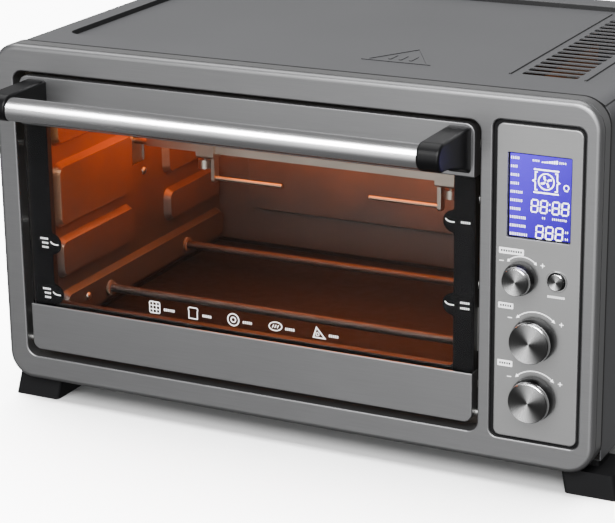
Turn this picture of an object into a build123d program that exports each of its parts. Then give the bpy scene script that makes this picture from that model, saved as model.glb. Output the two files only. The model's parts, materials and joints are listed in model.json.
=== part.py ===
from build123d import *
import math
import os

os.makedirs("parts", exist_ok=True)

# ---------------------------------------------------------------------------
# Countertop toaster oven, millimetres, +Z up, front towards -Y.
# Sketches are drawn from the datum: the lower left front corner of the
# bezel's flat face. The three plane makers below put that datum in the model
# frame, whose origin is the centre of the footprint on the table.
# ---------------------------------------------------------------------------

# Body
FACE_W, FACE_H = 472.0, 258.0        # flat front face of the bezel
EDGE = 4.0                           # rounding between that face and the bezel's sides
BEZEL_DEPTH = 19.4
SHEET = 0.8                          # pressed steel
COVER_X = (-3.2, 475.2)
COVER_Z = (1.0, 259.5)
COVER_Y = (20.4, 337.0)
COVER_CORNER = 14.0
REAR_Y = 338.0
SPACER_Y = 345.0

# Feet
FOOT_H = 22.0
FOOT_W = 39.0
FOOT_D = 40.0
FOOT_LEAN = 4.0
FOOT_LEFT_X = -4.8
FOOT_RIGHT_X = 453.3
FOOT_YS = (7.0, 290.0)

# Door, its opening and its hinge axis
OPEN_X, OPEN_Z = (13.7, 390.0), (15.5, 242.3)
DOOR_X, DOOR_Z = (19.0, 386.0), (21.6, 239.4)
DOOR_CORNER = 7.0
DOOR_DEPTH = 12.0
WINDOW_X, WINDOW_Z = (38.4, 369.4), (58.7, 201.6)
HINGE_Y, HINGE_Z = 8.0, 27.6
PIN_R = 2.55
RUNNING = 0.05                       # radial clearance of a running fit
ARM_R = (56.0, 64.0)                 # quadrant arm, about the hinge axis
ARM_X = (24.2, 25.8)
MIRROR_X = OPEN_X[0] + OPEN_X[1]     # x of a left feature plus x of its right twin

# Handle
HANDLE_Y, HANDLE_Z, HANDLE_R = -46.0, 226.0, 8.75
HANDLE_FRONT = -56.0
BRACKET_W = 17.2
BRACKET_XS = {"left": 25.8, "right": 366.0}
SOCKET = 5.4                         # depth of the tube's seat in a bracket
HANDLE_X = (BRACKET_XS["left"] + BRACKET_W - SOCKET + 0.1, BRACKET_XS["right"] + SOCKET - 0.1)

# Control side
PANEL_OPEN_X, PANEL_OPEN_Z = (398.9, 465.0), (14.6, 244.7)
PANEL_X, PANEL_Z = (402.0, 463.3), (16.7, 242.5)
LCD_X, LCD_Z = (410.0, 455.7), (162.8, 222.8)
KNOBS = {                            # axis x, axis z, radius at the panel, radius at the face
    "function": (421.5, 135.5, 11.8, 9.6),
    "temperature": (432.2, 92.4, 16.0, 14.3),
    "time": (432.3, 49.0, 16.0, 14.3),
}
KNOB_BACK, KNOB_FRONT = -0.6, -12.2
CAP_T = 1.6
SHAFT_R = 3.0
BUTTON_X, BUTTON_Z, BUTTON_R = 446.8, 135.5, 7.1
BOARD_Y = 20.0

# Oven cavity, inside faces
CAV_X, CAV_Y, CAV_Z = (30.0, 374.0), (15.8, 285.0), (30.0, 235.0)
PAD = 5.5                            # height of the pressed pads
PAD_TAPER = 30.0
FRONT_PADS = ((22.0, 135.0, 72.0, 105.0), (22.0, 135.0, 113.0, 165.0), (22.0, 135.0, 178.0, 228.0))
REAR_PADS = ((188.0, 279.0, 72.0, 101.0), (188.0, 279.0, 113.0, 165.0), (188.0, 279.0, 178.0, 228.0))
HEATER_YS, HEATER_TOP_Z, HEATER_LOW_Z = (90.0, 215.0), 219.0, 46.0
HEATER_R, INSULATOR_R = 3.3, 6.0
SPIT_Y, SPIT_Z = 150.0, 153.5
FAN_Y, FAN_Z, FAN_CUP_R, FAN_CUP_X = 228.0, 130.0, 53.0, 396.0

# Model frame
DATUM_X = -(FOOT_LEFT_X + FOOT_RIGHT_X + FOOT_W) / 2
DATUM_Y = -(HANDLE_FRONT + SPACER_Y) / 2
DATUM_Z = FOOT_H


def front_plane(y):
    """Plane at depth y, seen from the front: local x is x, local y is z, normal -Y."""
    return Plane(origin=(DATUM_X, DATUM_Y + y, DATUM_Z), x_dir=(1, 0, 0), z_dir=(0, -1, 0))


def side_plane(x):
    """Plane at x: local x is depth y, local y is z, normal +X."""
    return Plane(origin=(DATUM_X + x, DATUM_Y, DATUM_Z), x_dir=(0, 1, 0), z_dir=(1, 0, 0))


def side_plane_left(x):
    """Plane at x with its normal towards -X: local x is minus depth y, local y is z."""
    return Plane(origin=(DATUM_X + x, DATUM_Y, DATUM_Z), x_dir=(0, -1, 0), z_dir=(-1, 0, 0))


def level_plane(z):
    """Plane at height z: local x is x, local y is depth y, normal +Z."""
    return Plane(origin=(DATUM_X, DATUM_Y, DATUM_Z + z), x_dir=(1, 0, 0), z_dir=(0, 0, 1))


def rect(xs, ys, radius=0.0, mode=Mode.ADD):
    """Rectangle between two limits each way, in the sketch that is open."""
    with Locations(((xs[0] + xs[1]) / 2, (ys[0] + ys[1]) / 2)):
        if radius > 0:
            RectangleRounded(xs[1] - xs[0], ys[1] - ys[0], radius, mode=mode)
        else:
            Rectangle(xs[1] - xs[0], ys[1] - ys[0], mode=mode)


def disc(x, y, radius, mode=Mode.ADD):
    with Locations((x, y)):
        Circle(radius, mode=mode)


def grow(limits, amount):
    return (limits[0] - amount, limits[1] + amount)


def save(builder, name):
    builder.part.label = name
    export_step(builder.part, f"parts/{name}.step")


# ---------------------------------------------------------------------------
# Front bezel: one pressed frame with a flat face, a rolled edge and returns
# round the door opening and the control opening.
# ---------------------------------------------------------------------------
BEZEL_WALL = 2.0
DOOR_RETURN, PANEL_RETURN = 15.0, 8.0

with BuildPart() as front_bezel:
    outer_x, outer_z = (-EDGE, FACE_W + EDGE), (-EDGE, FACE_H + EDGE)
    with BuildSketch(front_plane(0)):
        rect(outer_x, outer_z, 20.0)
    extrude(amount=-BEZEL_DEPTH)
    fillet(front_bezel.faces().sort_by(Axis.Y)[0].edges(), EDGE - 0.1)
    with BuildSketch(front_plane(BEZEL_WALL)):
        rect(grow(outer_x, -BEZEL_WALL), grow(outer_z, -BEZEL_WALL), 18.0)
    extrude(amount=-(BEZEL_DEPTH - BEZEL_WALL), mode=Mode.SUBTRACT)
    with BuildSketch(front_plane(BEZEL_WALL)):
        rect(grow(OPEN_X, BEZEL_WALL), grow(OPEN_Z, BEZEL_WALL), 9.0)
    extrude(amount=-(DOOR_RETURN - BEZEL_WALL))
    with BuildSketch(front_plane(BEZEL_WALL)):
        rect(grow(PANEL_OPEN_X, BEZEL_WALL), grow(PANEL_OPEN_Z, BEZEL_WALL), 7.5)
    extrude(amount=-(PANEL_RETURN - BEZEL_WALL))
    with BuildSketch(front_plane(0)):
        rect(OPEN_X, OPEN_Z, 8.0)
        rect(PANEL_OPEN_X, PANEL_OPEN_Z, 6.0)
    extrude(amount=-BEZEL_DEPTH, mode=Mode.SUBTRACT)
    opening_edges = front_bezel.faces().sort_by(Axis.Y)[0].inner_wires().edges()
    fillet(opening_edges, 1.2)
    # shallow line rolled round the side, behind the soft edge
    with BuildSketch(front_plane(5.2)):
        rect(grow(outer_x, 2), grow(outer_z, 2), 22.0)
        rect(grow(outer_x, -0.6), grow(outer_z, -0.6), 19.4, mode=Mode.SUBTRACT)
    extrude(amount=-1.4, mode=Mode.SUBTRACT)
    # hinge pin holes in the door opening's side returns
    for x in (OPEN_X[0] - BEZEL_WALL, OPEN_X[1]):
        with BuildSketch(side_plane(x - 0.5)):
            disc(HINGE_Y, HINGE_Z, PIN_R + RUNNING)
        extrude(amount=BEZEL_WALL + 1, mode=Mode.SUBTRACT)
save(front_bezel, "front_bezel")

# ---------------------------------------------------------------------------
# Control panel, its carrier, the display and the boards behind it
# ---------------------------------------------------------------------------
PANEL_T = 2.5
CARRIER_T = 2.0
with BuildPart() as control_panel:
    with BuildSketch(front_plane(0)):
        rect(PANEL_X, PANEL_Z, 5.0)
    extrude(amount=-PANEL_T)
    fillet(control_panel.faces().sort_by(Axis.Y)[0].edges(), 0.9)
    with BuildSketch(front_plane(0)):
        rect(LCD_X, LCD_Z, 1.0)
        for x, z, base_r, face_r in KNOBS.values():
            disc(x, z, 4.5)
        disc(BUTTON_X, BUTTON_Z, BUTTON_R + 0.3)
    extrude(amount=-PANEL_T, mode=Mode.SUBTRACT)
    fillet(control_panel.faces().sort_by(Axis.Y)[0].inner_wires().edges(), 0.35)
save(control_panel, "control_panel")

MODULE_X, MODULE_Z = grow(LCD_X, -1.0), grow(LCD_Z, -1.0)
CARRIER_POSTS = [(x, z) for x in (406.0, 459.0) for z in (21.0, 238.0)]
with BuildPart() as panel_carrier:
    carrier_x, carrier_z = grow(PANEL_OPEN_X, -0.2), grow(PANEL_OPEN_Z, -0.2)
    with BuildSketch(front_plane(PANEL_T)):
        rect(carrier_x, carrier_z, 5.8)
    extrude(amount=-CARRIER_T)
    with BuildSketch(front_plane(PANEL_T + CARRIER_T)):
        rect(carrier_x, carrier_z, 5.8)
        rect(grow(carrier_x, -1.6), grow(carrier_z, -1.6), 4.2, mode=Mode.SUBTRACT)
    extrude(amount=-(PANEL_RETURN + 2 - PANEL_T - CARRIER_T))
    with BuildSketch(front_plane(PANEL_RETURN)):
        rect(grow(PANEL_OPEN_X, BEZEL_WALL), grow(PANEL_OPEN_Z, BEZEL_WALL), 7.5)
        rect(grow(carrier_x, -1.6), grow(carrier_z, -1.6), 4.2, mode=Mode.SUBTRACT)
    extrude(amount=-2.0)
    with BuildSketch(front_plane(PANEL_T + CARRIER_T)):
        for x, z in CARRIER_POSTS:
            disc(x, z, 3.0)
    extrude(amount=-(BOARD_Y - PANEL_T - CARRIER_T))
    with BuildSketch(front_plane(PANEL_T)):
        rect(grow(MODULE_X, 0.2), grow(MODULE_Z, 0.2))
        for x, z, base_r, face_r in KNOBS.values():
            disc(x, z, 4.8)
        disc(BUTTON_X, BUTTON_Z, 4.3)
    extrude(amount=-CARRIER_T, mode=Mode.SUBTRACT)
save(panel_carrier, "panel_carrier")

with BuildPart() as lcd_lens:
    with BuildSketch(front_plane(0.3)):
        rect(grow(LCD_X, -0.1), grow(LCD_Z, -0.1), 0.9)
    extrude(amount=-2.0)
save(lcd_lens, "lcd_lens")

with BuildPart() as lcd_module:
    with BuildSketch(front_plane(2.4)):
        rect(MODULE_X, MODULE_Z)
    extrude(amount=-6.6)
    with BuildSketch(front_plane(9.0)):
        rect(grow(MODULE_X, -3), grow(MODULE_Z, -3), 1.0)
    extrude(amount=-2.0)
save(lcd_module, "lcd_module")

with BuildPart() as control_board:
    with BuildSketch(front_plane(BOARD_Y)):
        rect((402.5, 462.5), (17.5, 241.5), 2.0)
    extrude(amount=-1.6)
    with BuildSketch(front_plane(BOARD_Y + 1.6)):
        rect((412.0, 430.0), (180.0, 198.0), 0.5)
        rect((438.0, 456.0), (150.0, 160.0), 0.5)
    extrude(amount=-3.0)
save(control_board, "control_board")

# Three rotary encoders and the start switch, standing on the board
ENCODER_FRONT = 13.0
BUSHING_FRONT = 4.8
SWITCH_FRONT = 16.0
with BuildPart() as board_controls:
    with BuildSketch(front_plane(BOARD_Y)):
        for x, z, base_r, face_r in KNOBS.values():
            rect((x - 7, x + 7), (z - 7, z + 7), 1.0)
    extrude(amount=BOARD_Y - ENCODER_FRONT)
    with BuildSketch(front_plane(ENCODER_FRONT)):
        for x, z, base_r, face_r in KNOBS.values():
            disc(x, z, 4.4)
    extrude(amount=ENCODER_FRONT - BUSHING_FRONT)
    with BuildSketch(front_plane(BUSHING_FRONT)):
        for x, z, base_r, face_r in KNOBS.values():
            disc(x, z, SHAFT_R + RUNNING)
    extrude(amount=-(19.0 - BUSHING_FRONT), mode=Mode.SUBTRACT)
    with BuildSketch(front_plane(BOARD_Y)):
        rect((BUTTON_X - 5, BUTTON_X + 5), (BUTTON_Z - 5, BUTTON_Z + 5), 1.0)
    extrude(amount=BOARD_Y - SWITCH_FRONT)
save(board_controls, "board_controls")

for name, (x, z, base_r, face_r) in KNOBS.items():
    length = KNOB_BACK - KNOB_FRONT
    taper = math.degrees(math.atan((base_r - face_r) / length))
    with BuildPart() as knob:
        with BuildSketch(front_plane(KNOB_BACK)):
            disc(x, z, base_r)
        extrude(amount=length, taper=taper)
        fillet(knob.faces().sort_by(Axis.Y)[-1].edges(), 0.5)
        with BuildSketch(front_plane(KNOB_BACK)):
            disc(x, z, base_r - 2.2)
            disc(x, z, 5.4, mode=Mode.SUBTRACT)
        extrude(amount=7.0, mode=Mode.SUBTRACT)
        with BuildSketch(front_plane(KNOB_BACK)):
            disc(x, z, SHAFT_R + RUNNING)
        extrude(amount=9.0, mode=Mode.SUBTRACT)
    save(knob, f"{name}_knob")

    with BuildPart() as knob_cap:
        with BuildSketch(front_plane(KNOB_FRONT)):
            disc(x, z, face_r)
        extrude(amount=CAP_T)
        chamfer(knob_cap.faces().sort_by(Axis.Y)[0].edges(), 1.1, 1.5)
    save(knob_cap, f"{name}_knob_cap")

    with BuildPart() as knob_shaft:
        with BuildSketch(front_plane(KNOB_BACK - 8.8)):
            disc(x, z, SHAFT_R)
        extrude(amount=-(18.8 - KNOB_BACK + 8.8))
    save(knob_shaft, f"{name}_knob_shaft")

with BuildPart() as start_button:
    with BuildSketch(front_plane(0.8)):
        disc(BUTTON_X, BUTTON_Z, BUTTON_R)
    extrude(amount=3.6)
    fillet(start_button.faces().sort_by(Axis.Y)[0].edges(), 0.7)
    with BuildSketch(front_plane(0.8)):
        disc(BUTTON_X, BUTTON_Z, 4.0)
    extrude(amount=-(SWITCH_FRONT - 1.6 - 0.8))
    with BuildSketch(front_plane(PANEL_T + CARRIER_T + 0.3)):
        disc(BUTTON_X, BUTTON_Z, 5.2)
    extrude(amount=-1.2)
save(start_button, "start_button")

# ---------------------------------------------------------------------------
# Outer cover: one sheet folded over left side, top and right side
# ---------------------------------------------------------------------------
RECESS = 4.0                         # depth of the tray pressed into the top
TRAY_X, TRAY_Y, TRAY_CORNER = (24.0, 447.0), (60.0, 314.0), 12.0
BEAD_XS, BEAD_Y, BEAD_W, BEAD_H = (378.8, 435.0), (82.0, 304.0), 2.6, 0.9
SLOT_X, SLOT_W = (386.0, 427.5), 8.4
SLOT_FIRST, SLOT_PITCH, SLOT_COUNT = 90.0, 11.8, 17
TRIANGLE = ((262.4, 83.6), (317.2, 83.6), (289.8, 132.4))
SIDE_SLOTS = 12

with BuildPart() as outer_cover:
    with BuildSketch(front_plane(COVER_Y[0])):
        rect(COVER_X, (-40.0, COVER_Z[1]), COVER_CORNER)
        rect(grow(COVER_X, -SHEET), (-41.0, COVER_Z[1] - SHEET), COVER_CORNER - SHEET,
             mode=Mode.SUBTRACT)
        rect(grow(COVER_X, 5), (-60.0, COVER_Z[0]), mode=Mode.SUBTRACT)
    extrude(amount=-(COVER_Y[1] - COVER_Y[0]))
    with BuildSketch(level_plane(COVER_Z[1])):
        rect(grow(TRAY_X, SHEET), grow(TRAY_Y, SHEET), TRAY_CORNER + SHEET)
    extrude(amount=-(RECESS + SHEET))
    with BuildSketch(level_plane(COVER_Z[1])):
        rect(TRAY_X, TRAY_Y, TRAY_CORNER)
    extrude(amount=-RECESS, mode=Mode.SUBTRACT)
    top_face = outer_cover.faces().filter_by(Axis.Z).sort_by(Axis.Z)[-1]
    fillet(top_face.inner_wires().edges(), 0.6)
    with BuildSketch(level_plane(COVER_Z[1] - RECESS)):
        for x in BEAD_XS:
            rect((x - BEAD_W / 2, x + BEAD_W / 2), BEAD_Y, 1.2)
    extrude(amount=BEAD_H, taper=35)
    with BuildSketch(level_plane(COVER_Z[1] + 2)):
        for i in range(SLOT_COUNT):
            y = SLOT_FIRST + i * SLOT_PITCH
            rect(SLOT_X, (y - SLOT_W / 2, y + SLOT_W / 2), 2.4)
    extrude(amount=-(RECESS + 5), mode=Mode.SUBTRACT)
    with BuildSketch(side_plane(COVER_X[1] + 1)):
        for i in range(SIDE_SLOTS):
            y = 180.0 + 10 * i
            rect((y - 1.8, y + 1.8), (30.0, 62.0), 1.7)
            rect((y - 1.8, y + 1.8), (186.0, 218.0), 1.7)
    extrude(amount=-3, mode=Mode.SUBTRACT)
    with BuildSketch(side_plane(COVER_X[0] + 2)):
        for i in range(SIDE_SLOTS):
            y = 180.0 + 10 * i
            rect((y - 1.8, y + 1.8), (30.0, 62.0), 1.7)
    extrude(amount=-3, mode=Mode.SUBTRACT)
    # embossed triangle near the front, a plain outline with three bars in it
    with BuildSketch(level_plane(COVER_Z[1] - RECESS)):
        with BuildLine():
            Polyline(*TRIANGLE, close=True)
        make_face()
        offset(amount=-2.6, kind=Kind.INTERSECTION, mode=Mode.SUBTRACT)
        for x in (281.6, 289.8, 298.0):
            rect((x - 1.3, x + 1.3), (91.0, 105.0), 1.2)
    extrude(amount=0.5)
save(outer_cover, "outer_cover")

# ---------------------------------------------------------------------------
# Rear panel, rear spacers, mains gland
# ---------------------------------------------------------------------------
GLAND_X, GLAND_Z, GLAND_BORE = 425.0, 34.0, 3.6
with BuildPart() as rear_panel:
    with BuildSketch(front_plane(COVER_Y[1])):
        rect(COVER_X, (-40.0, COVER_Z[1]), COVER_CORNER)
        rect(grow(COVER_X, 5), (-60.0, COVER_Z[0]), mode=Mode.SUBTRACT)
    extrude(amount=-(REAR_Y - COVER_Y[1]))
    with BuildSketch(front_plane(REAR_Y)):
        rect((60.0, 344.0), (60.0, 205.0), 16.0)
    extrude(amount=-3.0)
    chamfer(rear_panel.faces().sort_by(Axis.Y)[-1].edges(), 2.0)
    with BuildSketch(front_plane(COVER_Y[1])):
        rect((62.0, 342.0), (62.0, 203.0), 14.0)
    extrude(amount=-(REAR_Y - COVER_Y[1] + 1.8), mode=Mode.SUBTRACT)
    with BuildSketch(front_plane(COVER_Y[1])):
        for i in range(10):
            rect((100.0 + 22 * i, 114.0 + 22 * i), (176.0, 180.0), 1.9)
            rect((100.0 + 22 * i, 114.0 + 22 * i), (186.0, 190.0), 1.9)
        for i in range(9):
            rect((396.0, 452.0), (150.0 + 9 * i, 154.0 + 9 * i), 1.9)
        disc(GLAND_X, GLAND_Z, 8.0)
    extrude(amount=-5, mode=Mode.SUBTRACT)
save(rear_panel, "rear_panel")

with BuildPart() as rear_spacers:
    with BuildSketch(front_plane(REAR_Y)):
        for x in (30.0, 442.0):
            rect((x - 9, x + 9), (212.0, 240.0), 5.0)
    extrude(amount=-(SPACER_Y - REAR_Y), taper=12)
save(rear_spacers, "rear_spacers")

with BuildPart() as mains_gland:
    with BuildSketch(front_plane(COVER_Y[1] - 3)):
        disc(GLAND_X, GLAND_Z, 7.9)
    extrude(amount=-(SPACER_Y - 0.5 - COVER_Y[1] + 3))
    with BuildSketch(front_plane(REAR_Y)):
        disc(GLAND_X, GLAND_Z, 11.0)
    extrude(amount=-2.0)
    with BuildSketch(front_plane(COVER_Y[1] - 3)):
        disc(GLAND_X, GLAND_Z, 11.0)
        disc(GLAND_X, GLAND_Z, 7.9, mode=Mode.SUBTRACT)
    extrude(amount=-2.5)
    with BuildSketch(front_plane(COVER_Y[1] - 3)):
        disc(GLAND_X, GLAND_Z, GLAND_BORE)
    extrude(amount=-20, mode=Mode.SUBTRACT)
save(mains_gland, "mains_gland")

# ---------------------------------------------------------------------------
# Base plate, feet
# ---------------------------------------------------------------------------
BASE_T = 1.0
with BuildPart() as base_plate:
    base_x = grow(COVER_X, -SHEET)
    with BuildSketch(level_plane(COVER_Z[0])):
        rect(base_x, (19.6, COVER_Y[1]))
    extrude(amount=BASE_T)
    for x0 in (base_x[0], base_x[1] - BASE_T):
        with BuildSketch(level_plane(COVER_Z[0] + BASE_T)):
            rect((x0, x0 + BASE_T), (24.0, 330.0))
        extrude(amount=11.0)
    with BuildSketch(level_plane(COVER_Z[0])):
        for i in range(14):
            x = 70.0 + 20 * i
            rect((x - 2, x + 2), (60.0, 110.0), 1.9)
            rect((x - 2, x + 2), (230.0, 280.0), 1.9)
        for i in range(6):
            rect((396.0 + 9 * i, 400.0 + 9 * i), (90.0, 250.0), 1.9)
    extrude(amount=BASE_T, mode=Mode.SUBTRACT)
save(base_plate, "base_plate")

with BuildPart() as feet:
    for x0, lean in ((FOOT_LEFT_X, -FOOT_LEAN), (FOOT_RIGHT_X, FOOT_LEAN)):
        for y0 in FOOT_YS:
            top_z = -EDGE if y0 < BEZEL_DEPTH else COVER_Z[0]
            bottom = (x0, x0 + FOOT_W)
            top = (x0 - lean, x0 - lean + FOOT_W)
            with BuildSketch(level_plane(-FOOT_H)):
                rect(bottom, (y0, y0 + FOOT_D), 3.0)
            with BuildSketch(level_plane(top_z)):
                rect(top, (y0 + 1.5, y0 + FOOT_D), 3.0)
            loft()
            if y0 < BEZEL_DEPTH:
                with BuildSketch(level_plane(-EDGE)):
                    rect((max(top[0], -2.0), min(top[1], 474.0)), (y0 + 14.0, y0 + FOOT_D - 2), 2.0)
                extrude(amount=EDGE + COVER_Z[0])
save(feet, "feet")

# ---------------------------------------------------------------------------
# Oven cavity: front flange, two pressed side walls, back, ceiling, floor
# ---------------------------------------------------------------------------
FLANGE_Y = CAV_Y[0] - SHEET
with BuildPart() as cavity_front_flange:
    with BuildSketch(front_plane(FLANGE_Y)):
        rect((8.0, 395.7), (9.0, 248.5), 5.0)
        rect(CAV_X, (32.0, CAV_Z[1]), 3.0, mode=Mode.SUBTRACT)
        for x0 in (ARM_X[0] - 1.6, MIRROR_X - ARM_X[1] - 1.6):
            rect((x0, x0 + 4.8), (80.5, 93.5), 1.5, mode=Mode.SUBTRACT)
    extrude(amount=-SHEET)
save(cavity_front_flange, "cavity_front_flange")


def wall_holes(extra):
    """Round holes for the four heater insulators, and the side's own ones."""
    for y in HEATER_YS:
        disc(y, HEATER_TOP_Z, INSULATOR_R + RUNNING)
        disc(y, HEATER_LOW_Z, INSULATOR_R + RUNNING)
    for y, z, radius in extra:
        disc(y, z, radius)


LOW_STRIP = (25.0, 284.0, 35.0, 61.0)
LEFT_SLOT_Y, LEFT_SLOT_Z = (139.0, 161.0), (134.0, 162.0)
with BuildPart() as cavity_left_wall:
    with BuildSketch(side_plane(CAV_X[0] - SHEET)):
        rect(CAV_Y, CAV_Z)
    extrude(amount=SHEET)
    for y0, y1, z0, z1 in FRONT_PADS + REAR_PADS + (LOW_STRIP,):
        with BuildSketch(side_plane(CAV_X[0])):
            rect((y0, y1), (z0, z1), 9.0)
        extrude(amount=PAD, taper=PAD_TAPER)
        with BuildSketch(side_plane(CAV_X[0] - SHEET)):
            rect((y0 + 0.8, y1 - 0.8), (z0 + 0.8, z1 - 0.8), 8.2)
        extrude(amount=PAD, taper=PAD_TAPER, mode=Mode.SUBTRACT)
    with BuildSketch(side_plane(CAV_X[0] - 2)):
        wall_holes([])
        rect(LEFT_SLOT_Y, LEFT_SLOT_Z, 1.5)
    extrude(amount=12, mode=Mode.SUBTRACT)
save(cavity_left_wall, "cavity_left_wall")

LAMP_Y, LAMP_Z, LAMP_R = 160.0, 206.0, 13.0
PROBE_Y, PROBE_Z, PROBE_R = 162.0, 100.0, 2.5
SOCKET_R = 7.5
with BuildPart() as cavity_right_wall:
    with BuildSketch(side_plane_left(CAV_X[1] + SHEET)):
        rect((-CAV_Y[1], -CAV_Y[0]), CAV_Z)
    extrude(amount=SHEET)
    with BuildSketch(side_plane(CAV_X[1])):
        disc(FAN_Y, FAN_Z, FAN_CUP_R)
    extrude(amount=FAN_CUP_X - CAV_X[1])
    with BuildSketch(side_plane(CAV_X[1])):
        disc(FAN_Y, FAN_Z, FAN_CUP_R - SHEET)
    extrude(amount=FAN_CUP_X - CAV_X[1] - SHEET, mode=Mode.SUBTRACT)
    for y0, y1, z0, z1 in FRONT_PADS + (LOW_STRIP,):
        with BuildSketch(side_plane_left(CAV_X[1])):
            rect((-y1, -y0), (z0, z1), 9.0)
        extrude(amount=PAD, taper=PAD_TAPER)
        with BuildSketch(side_plane_left(CAV_X[1] + SHEET)):
            rect((-y1 + 0.8, -y0 - 0.8), (z0 + 0.8, z1 - 0.8), 8.2)
        extrude(amount=PAD, taper=PAD_TAPER, mode=Mode.SUBTRACT)
    with BuildSketch(side_plane(CAV_X[1] - PAD - 2)):
        wall_holes([(SPIT_Y, SPIT_Z, SOCKET_R + 0.6), (LAMP_Y, LAMP_Z, LAMP_R),
                    (PROBE_Y, PROBE_Z, PROBE_R + RUNNING), (FAN_Y, FAN_Z, 5.0)])
    extrude(amount=FAN_CUP_X - CAV_X[1] + PAD + 4, mode=Mode.SUBTRACT)
save(cavity_right_wall, "cavity_right_wall")

cavity_outer_x = grow(CAV_X, SHEET)
with BuildPart() as cavity_back_wall:
    with BuildSketch(front_plane(CAV_Y[1])):
        rect(cavity_outer_x, grow(CAV_Z, SHEET))
    extrude(amount=-SHEET)
    with BuildSketch(front_plane(CAV_Y[1])):
        rect((60.0, 344.0), (62.0, 205.0), 14.0)
    extrude(amount=3.0, taper=30)
    with BuildSketch(front_plane(CAV_Y[1] + SHEET)):
        rect((60.8, 343.2), (62.8, 204.2), 13.2)
    extrude(amount=3.0, taper=30, mode=Mode.SUBTRACT)
save(cavity_back_wall, "cavity_back_wall")

with BuildPart() as cavity_ceiling:
    with BuildSketch(level_plane(CAV_Z[1])):
        rect(cavity_outer_x, CAV_Y)
    extrude(amount=SHEET)
    for y in HEATER_YS:
        with BuildSketch(level_plane(CAV_Z[1] + SHEET)):
            rect((60.0, 344.0), (y - 22, y + 22), 10.0)
        extrude(amount=3.0, taper=30)
        with BuildSketch(level_plane(CAV_Z[1])):
            rect((60.8, 343.2), (y - 21.2, y + 21.2), 9.2)
        extrude(amount=3.0, taper=30, mode=Mode.SUBTRACT)
save(cavity_ceiling, "cavity_ceiling")

with BuildPart() as cavity_floor:
    with BuildSketch(level_plane(CAV_Z[0] - SHEET)):
        rect(cavity_outer_x, CAV_Y)
    extrude(amount=SHEET)
save(cavity_floor, "cavity_floor")

# Crumb tray: shallow pan with a rolled front lip
TRAY_X, TRAY_Y, TRAY_Z = (33.0, 371.0), (17.0, 280.0), CAV_Z[0]
with BuildPart() as crumb_tray:
    with BuildSketch(level_plane(TRAY_Z)):
        rect(TRAY_X, TRAY_Y, 4.0)
    extrude(amount=4.0)
    with BuildSketch(level_plane(TRAY_Z + SHEET)):
        rect(grow(TRAY_X, -SHEET), grow(TRAY_Y, -SHEET), 3.2)
    extrude(amount=4.0, mode=Mode.SUBTRACT)
save(crumb_tray, "crumb_tray")

# ---------------------------------------------------------------------------
# Heaters, their insulators, lamp, probe, fan grille
# ---------------------------------------------------------------------------
for name, z in (("upper_heaters", HEATER_TOP_Z), ("lower_heaters", HEATER_LOW_Z)):
    with BuildPart() as heaters:
        with BuildSketch(side_plane(CAV_X[0] - 8)):
            for y in HEATER_YS:
                disc(y, z, HEATER_R)
        extrude(amount=CAV_X[1] - CAV_X[0] + 16)
        for x0 in (CAV_X[0] - 15, CAV_X[1] + 8):
            with BuildSketch(side_plane(x0)):
                for y in HEATER_YS:
                    disc(y, z, 1.5)
            extrude(amount=7.0)
    save(heaters, name)

with BuildPart() as heater_insulators:
    for x0 in (CAV_X[0] - 5, CAV_X[1] - 7.5):
        with BuildSketch(side_plane(x0)):
            for y in HEATER_YS:
                for z in (HEATER_TOP_Z, HEATER_LOW_Z):
                    disc(y, z, INSULATOR_R)
                    disc(y, z, HEATER_R + RUNNING, mode=Mode.SUBTRACT)
        extrude(amount=12.5)
save(heater_insulators, "heater_insulators")

with BuildPart() as lamp_lens:
    with BuildSketch(side_plane_left(CAV_X[1])):
        disc(-LAMP_Y, LAMP_Z, LAMP_R + 3)
    extrude(amount=3.0)
    fillet(lamp_lens.faces().sort_by(Axis.X)[0].edges(), 2.4)
    with BuildSketch(side_plane(CAV_X[1] - 1.2)):
        disc(LAMP_Y, LAMP_Z, LAMP_R - 2)
    extrude(amount=2.0, mode=Mode.SUBTRACT)
save(lamp_lens, "lamp_lens")

with BuildPart() as oven_lamp:
    with BuildSketch(side_plane(CAV_X[1] + SHEET + 2)):
        disc(LAMP_Y, LAMP_Z, 7.0)
    extrude(amount=14.0)
    with BuildSketch(side_plane(CAV_X[1] + SHEET + 16)):
        rect((LAMP_Y - 12, LAMP_Y + 12), (LAMP_Z - 12, LAMP_Z + 12), 3.0)
    extrude(amount=10.0)
    fillet(oven_lamp.faces().sort_by(Axis.X)[0].edges(), 5.0)
save(oven_lamp, "oven_lamp")

with BuildPart() as temperature_probe:
    with BuildSketch(side_plane(CAV_X[1] - 24)):
        disc(PROBE_Y, PROBE_Z, PROBE_R)
    extrude(amount=34.0)
    with BuildSketch(side_plane(CAV_X[1] + SHEET)):
        disc(PROBE_Y, PROBE_Z, 6.0)
    extrude(amount=3.0)
    fillet(temperature_probe.faces().sort_by(Axis.X)[0].edges(), 2.0)
save(temperature_probe, "temperature_probe")

GRILLE_R = 57.0
GRILLE_RINGS = 5
with BuildPart() as fan_grille:
    with BuildSketch(side_plane_left(CAV_X[1])):
        disc(-FAN_Y, FAN_Z, GRILLE_R)
        disc(-FAN_Y, FAN_Z, 2.6, mode=Mode.SUBTRACT)
        for ring in range(1, GRILLE_RINGS + 1):
            with Locations((-FAN_Y, FAN_Z)):
                with PolarLocations(9.2 * ring, 6 * ring):
                    Circle(2.6, mode=Mode.SUBTRACT)
    extrude(amount=SHEET)
save(fan_grille, "fan_grille")

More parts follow.
